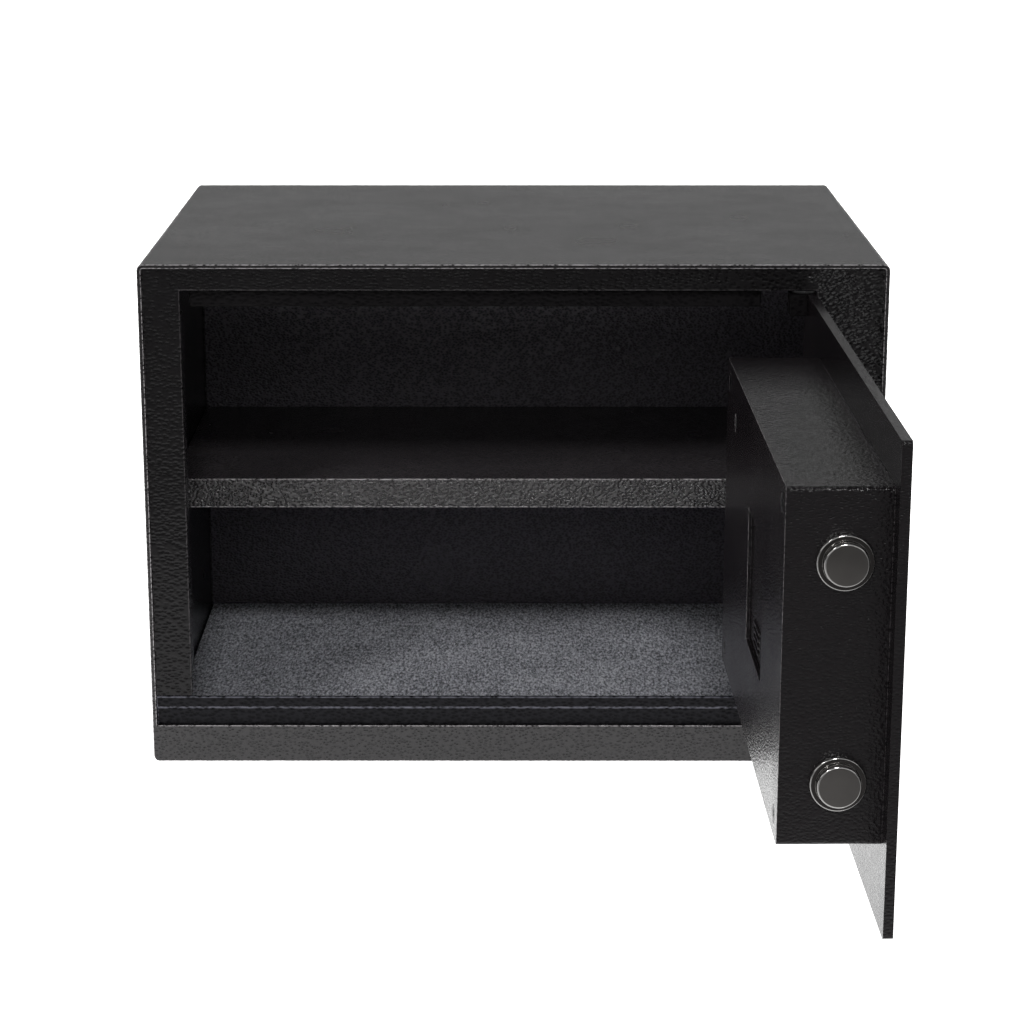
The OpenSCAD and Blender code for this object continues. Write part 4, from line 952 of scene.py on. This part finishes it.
def makeLights(values):
    low, high = shutBox("status_lenses")
    lens, rim, dome, soft = (values[k] for k in ("lens", "rim", "dome", "rimEdge"))
    step, z = high.y - values["step"], (low.z + high.z) / 2
    bm = bmesh.new()
    finishes = []
    for i, x in enumerate((low.x + rim, (low.x + high.x) / 2, high.x - rim)):
        crown = (low.y + dome * values["crownAt"], lens * values["crown"], values["crownEdge"])
        light = lathe([(low.y, 0, 0), crown, (low.y + dome, lens, values["lensEdge"]), (step, lens, 0),
                       (step, rim, soft), (high.y, rim, soft), (high.y, 0, 0)],
                      (x, 0, z), "y", values["sides"])
        joinInto(bm, light, i)
    for name, colour in lensColours.items():
        # a lighter edge colour: wear and painted highlight
        wornAndGlint = tuple(min(1, c * values["wornAndGlintLighter"]) for c in colour)
        finishes.append(plainPaint(name, plastic, colour, wornAndGlint, *plasticRows["lens"][2:]))
        finishes[-1].node_tree.nodes["Principled BSDF"].inputs["Coat Weight"].default_value = values["coat"]
    doorPiece("signalLights", bm, "status_lenses", finishes)


makeLights(lightShape)

# Override lock: turned barrel, and the cover that swings aside on its rivet
barrelShape = {"edge": 0.0006, "mouth": 0.0003, "thread": 0.0003, "pitch": 0.0011, "threadFrom": 0.01,
               "play": 0.00005}


def makeBarrel(values):
    low, high = shutBox("lock_barrel")
    plugLow, plugHigh = shutBox("lock_plug")
    radius, bore = (high.x - low.x) / 2, (plugHigh.x - plugLow.x) / 2 + values["play"]
    root, pitch = radius - values["thread"], values["pitch"]
    corners = [(high.y, bore, 0), (low.y, bore, values["mouth"]), (low.y, radius, values["edge"])]
    y = low.y + values["threadFrom"]
    while y < high.y - pitch:
        corners += [(y, radius, 0), (y + pitch / 2, root, 0)]
        y += pitch
    corners += [(high.y, root, 0), (high.y, bore, 0)]
    bm = lathe(corners, (low + high) / 2, "y")
    doorPiece("lockBarrel", bm, "lock_barrel", [paints["steel"]])


makeBarrel(barrelShape)

coverShape = {"edge": 0.0006, "pipCount": 3, "pipFrom": 0.004, "pipPitch": 0.0024, "pipLong": 0.01,
              "pipLonger": 0.0008, "pipHigh": 0.0004, "pipWide": 0.0009, "pipEdge": 0.0002, "pipSunk": 0.0002}
rivetShape = {"crown": 0.62, "crownEdge": 0.0005, "headHigh": 0.0008, "headEdge": 0.0002,
              "shankInset": 0.001, "sides": 48}


def makeCover(values):
    low, high = shutBox("override_cover")
    bm = mergedCopy("override_cover", shut=True)
    rollEdges(bm, values["edge"], steps=3, chosen=lambda e: liesAt(e, low.y))
    x = (low.x + high.x) / 2
    for i in range(values["pipCount"]):  # grip lines for the fingertip
        z = low.z + values["pipFrom"] + i * values["pipPitch"]
        long, wide = values["pipLong"] / 2 + i * values["pipLonger"], values["pipWide"] / 2
        pip = roundedRectangle(x - long, x + long, z - wide, z + wide, wide * mesher["roundEnd"], steps=4)
        pip = plateFrom(pip, low.y + values["pipSunk"], low.y - values["pipHigh"])
        rollEdges(pip, values["pipEdge"], steps=2, chosen=lambda e: liesAt(e, low.y - values["pipHigh"]))
        joinInto(bm, pip)
    doorPiece("keyholeCover", bm, "override_cover", smooth=40)


def makeRivet(values):
    low, high = shutBox("cover_rivet")
    cover = shutBox("override_cover")
    head, under = (high.x - low.x) / 2, low.y + values["headHigh"]
    shank = head - values["shankInset"]
    rivet = lathe([(low.y, 0, 0), (low.y, head * values["crown"], values["crownEdge"]),
                   (under, head, values["headEdge"]), (under, shank, 0), (high.y, shank, 0), (high.y, 0, 0)],
                  ((cover[0].x + cover[1].x) / 2, 0, (low.z + high.z) / 2), "y", values["sides"])
    doorPiece("coverRivet", rivet, "cover_rivet", [paints["steel"]])


makeCover(coverShape)
makeRivet(rivetShape)
print("safe: keypad and knob made")

# Return spring of the locking solenoid, wound as one round wire with flattened ends
springShape = {"turns": 6, "wire": 0.00035, "coil": 0.00375, "stepsPerTurn": 40, "sides": 10,
               "endPacking": 0.28, "keptWhenPressed": 0.745, "foot": 0.109}


def makeSpring(values):
    low, high = shutBox("plunger_spring")
    x, y = (low.x + high.x) / 2, (low.y + high.y) / 2
    z0, z1 = low.z + values["wire"], high.z - values["wire"]
    count, coil = values["turns"] * values["stepsPerTurn"], values["coil"]
    route = []
    for k in range(count + 1):
        share, turn = k / count, 2 * math.pi * k / values["stepsPerTurn"]
        rise = share - math.sin(2 * math.pi * share) / (2 * math.pi) * values["endPacking"]
        route.append(Vector((x + coil * math.cos(turn), y + coil * math.sin(turn), z0 + (z1 - z0) * rise)))
    wound = tubeAlong(route, values["wire"], values["sides"])
    spring = doorPiece("plungerSpring", wound, "plunger_spring")
    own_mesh(spring)


makeSpring(springShape)

# Three internal cables, on the routes that part.scad gives
cables = {
    "radius": 0.0016, "sides": 14,
    "keypad": [(-0.0100, -0.1255, 0.1700), (-0.0100, -0.1155, 0.1700), (-0.0040, -0.1065, 0.1760),
               (-0.0010, -0.1025, 0.1975), (0.0130, -0.1038, 0.1975), (0.0190, -0.1038, 0.1975)],
    "battery": [(-0.0260, -0.1010, 0.1640), (-0.0260, -0.1040, 0.1640), (-0.0160, -0.1040, 0.1740),
                (-0.0030, -0.0985, 0.1910), (0.0090, -0.1005, 0.1870), (0.0130, -0.1073, 0.1870)],
    "solenoid": [(-0.0150, -0.1050, 0.0950), (-0.0150, -0.1010, 0.0950), (0.0010, -0.1062, 0.0950),
                 (0.0010, -0.1062, 0.1600), (0.0170, -0.1029, 0.1730), (0.0170, -0.1049, 0.1790),
                 (0.0170, -0.1089, 0.1790)],
}
# the second colour of each is the edge colour of wear and painted highlight
cableColours = {"cableBlack": ((0.020, 0.020, 0.022), (0.04, 0.04, 0.04)),
                "cableBlue": ((0.020, 0.060, 0.200), (0.05, 0.09, 0.22))}
cableFinishes = [paints["cable_red"]] + [
    plainPaint(name, plastic, colour, wornAndGlint, *plasticRows["cable_red"][2:])
    for name, (colour, wornAndGlint) in cableColours.items()]
loom = bmesh.new()
for i, run in enumerate(("keypad", "battery", "solenoid")):
    joinInto(loom, tubeAlong(smoothRoute(cables[run]), cables["radius"], cables["sides"]), i)
doorPiece("cableLoom", loom, "wiring", cableFinishes, smooth=60)
print("safe: works inside the lock case made")

# Floor, light and camera
studio = {"floor": 25.0, "floorColour": (0.84, 0.84, 0.84), "floorClouds": 3.0, "floorDarker": 0.985,
          "floorRough": 0.9, "tableGlow": 1.45, "tableEdge": (-0.58, -0.24),
          "sky": [(0.0, 0.34), (0.05, 0.33), (0.11, 0.20), (0.18, 0.17), (0.24, 0.07), (0.27, 1.0),
                  (0.4, 0.6), (0.6, 0.1)]}


def makeFloor(values):
    # a light table: it glows under the safe and fades out in front
    bm = bmesh.new()
    bmesh.ops.create_grid(bm, x_segments=8, y_segments=8, size=values["floor"])
    floor = meshObject("studioFloor", bm)
    paint, tree, shader, place = startPaint("studioFloorPaper")
    cloud = noiseNode(tree, place, values["floorClouds"], detail=3.0, rough=0.5)
    colour = values["floorColour"]
    darker = tuple(c * values["floorDarker"] for c in colour)
    glow = rangeNode(tree, axisOf(tree, place, "Y"), *values["tableEdge"], 0.0, values["tableGlow"],
                     "SMOOTHSTEP")
    feed(tree, shader, {"Base Color": rampNode(tree, cloud, [*zip(noiseReach, (darker, colour))]),
                        "Roughness": values["floorRough"], "Emission Color": (1, 1, 1, 1),
                        "Emission Strength": glow})
    floor.data.materials.append(paint)


def makeSky(values):
    world = bpy.data.worlds.new("studioSky")
    bpy.context.scene.world = world
    world.use_nodes = True
    tree = world.node_tree
    way = tree.nodes.new("ShaderNodeTexCoord").outputs["Generated"]
    stops = [(at, (light, light, light)) for at, light in values["sky"]]
    colour = rampNode(tree, axisOf(tree, way, "Z"), stops)
    feed(tree, tree.nodes["Background"], {"Strength": 1.0, "Color": colour})


lights = {  # where it hangs, what it looks at, its size, watts and spread in degrees
    "ceilingLight": ((0.0, 4.0, 2.6), (0.0, 4.0, 0.0), (14.0, 7.0), 420, 60),
    "leftSoftbox": ((-1.3, -2.0, 1.9), (0.0, 0.0, 0.10), (0.35, 0.35), 1.2, 60),
    "frontSoftbox": ((0.05, -2.3, 1.75), (0.0, 0.0, 0.10), (0.4, 0.25), 0.8, 40),
}


def softLight(name, place, aim, size, watts, spread):
    lamp = bpy.data.lights.new(name, "AREA")
    lamp.shape = "RECTANGLE"
    lamp.size, lamp.size_y = size
    lamp.energy = watts
    lamp.spread = math.radians(spread)
    thing = inScene(name, lamp)
    thing.location = place
    thing.rotation_euler = (Vector(aim) - Vector(place)).to_track_quat("-Z", "Y").to_euler()


makeFloor(studio)
makeSky(studio)
for lampName, row in lights.items():
    softLight(lampName, *row)
bpy.context.scene.view_settings.view_transform = "Standard"

photoCamera = {"lens": 95.408, "sensor": 36.0, "place": (-0.00197, -1.35121, 0.46432), "pitch": 15.271,
               "yaw": -0.088, "roll": -0.012, "near": 0.05, "far": 40}


def makeCamera(values):
    camera = bpy.data.cameras.new("photoCamera")
    camera.lens = values["lens"]
    camera.sensor_width = values["sensor"]
    camera.clip_start = values["near"]
    camera.clip_end = values["far"]
    thing = inScene("photoCamera", camera)
    turn = rotation(-values["yaw"], "Z") @ rotation(90 - values["pitch"], "X") @ rotation(values["roll"], "Z")
    thing.matrix_world = Matrix.Translation(values["place"]) @ turn
    bpy.context.scene.camera = thing


makeCamera(photoCamera)

print("safe: finished")
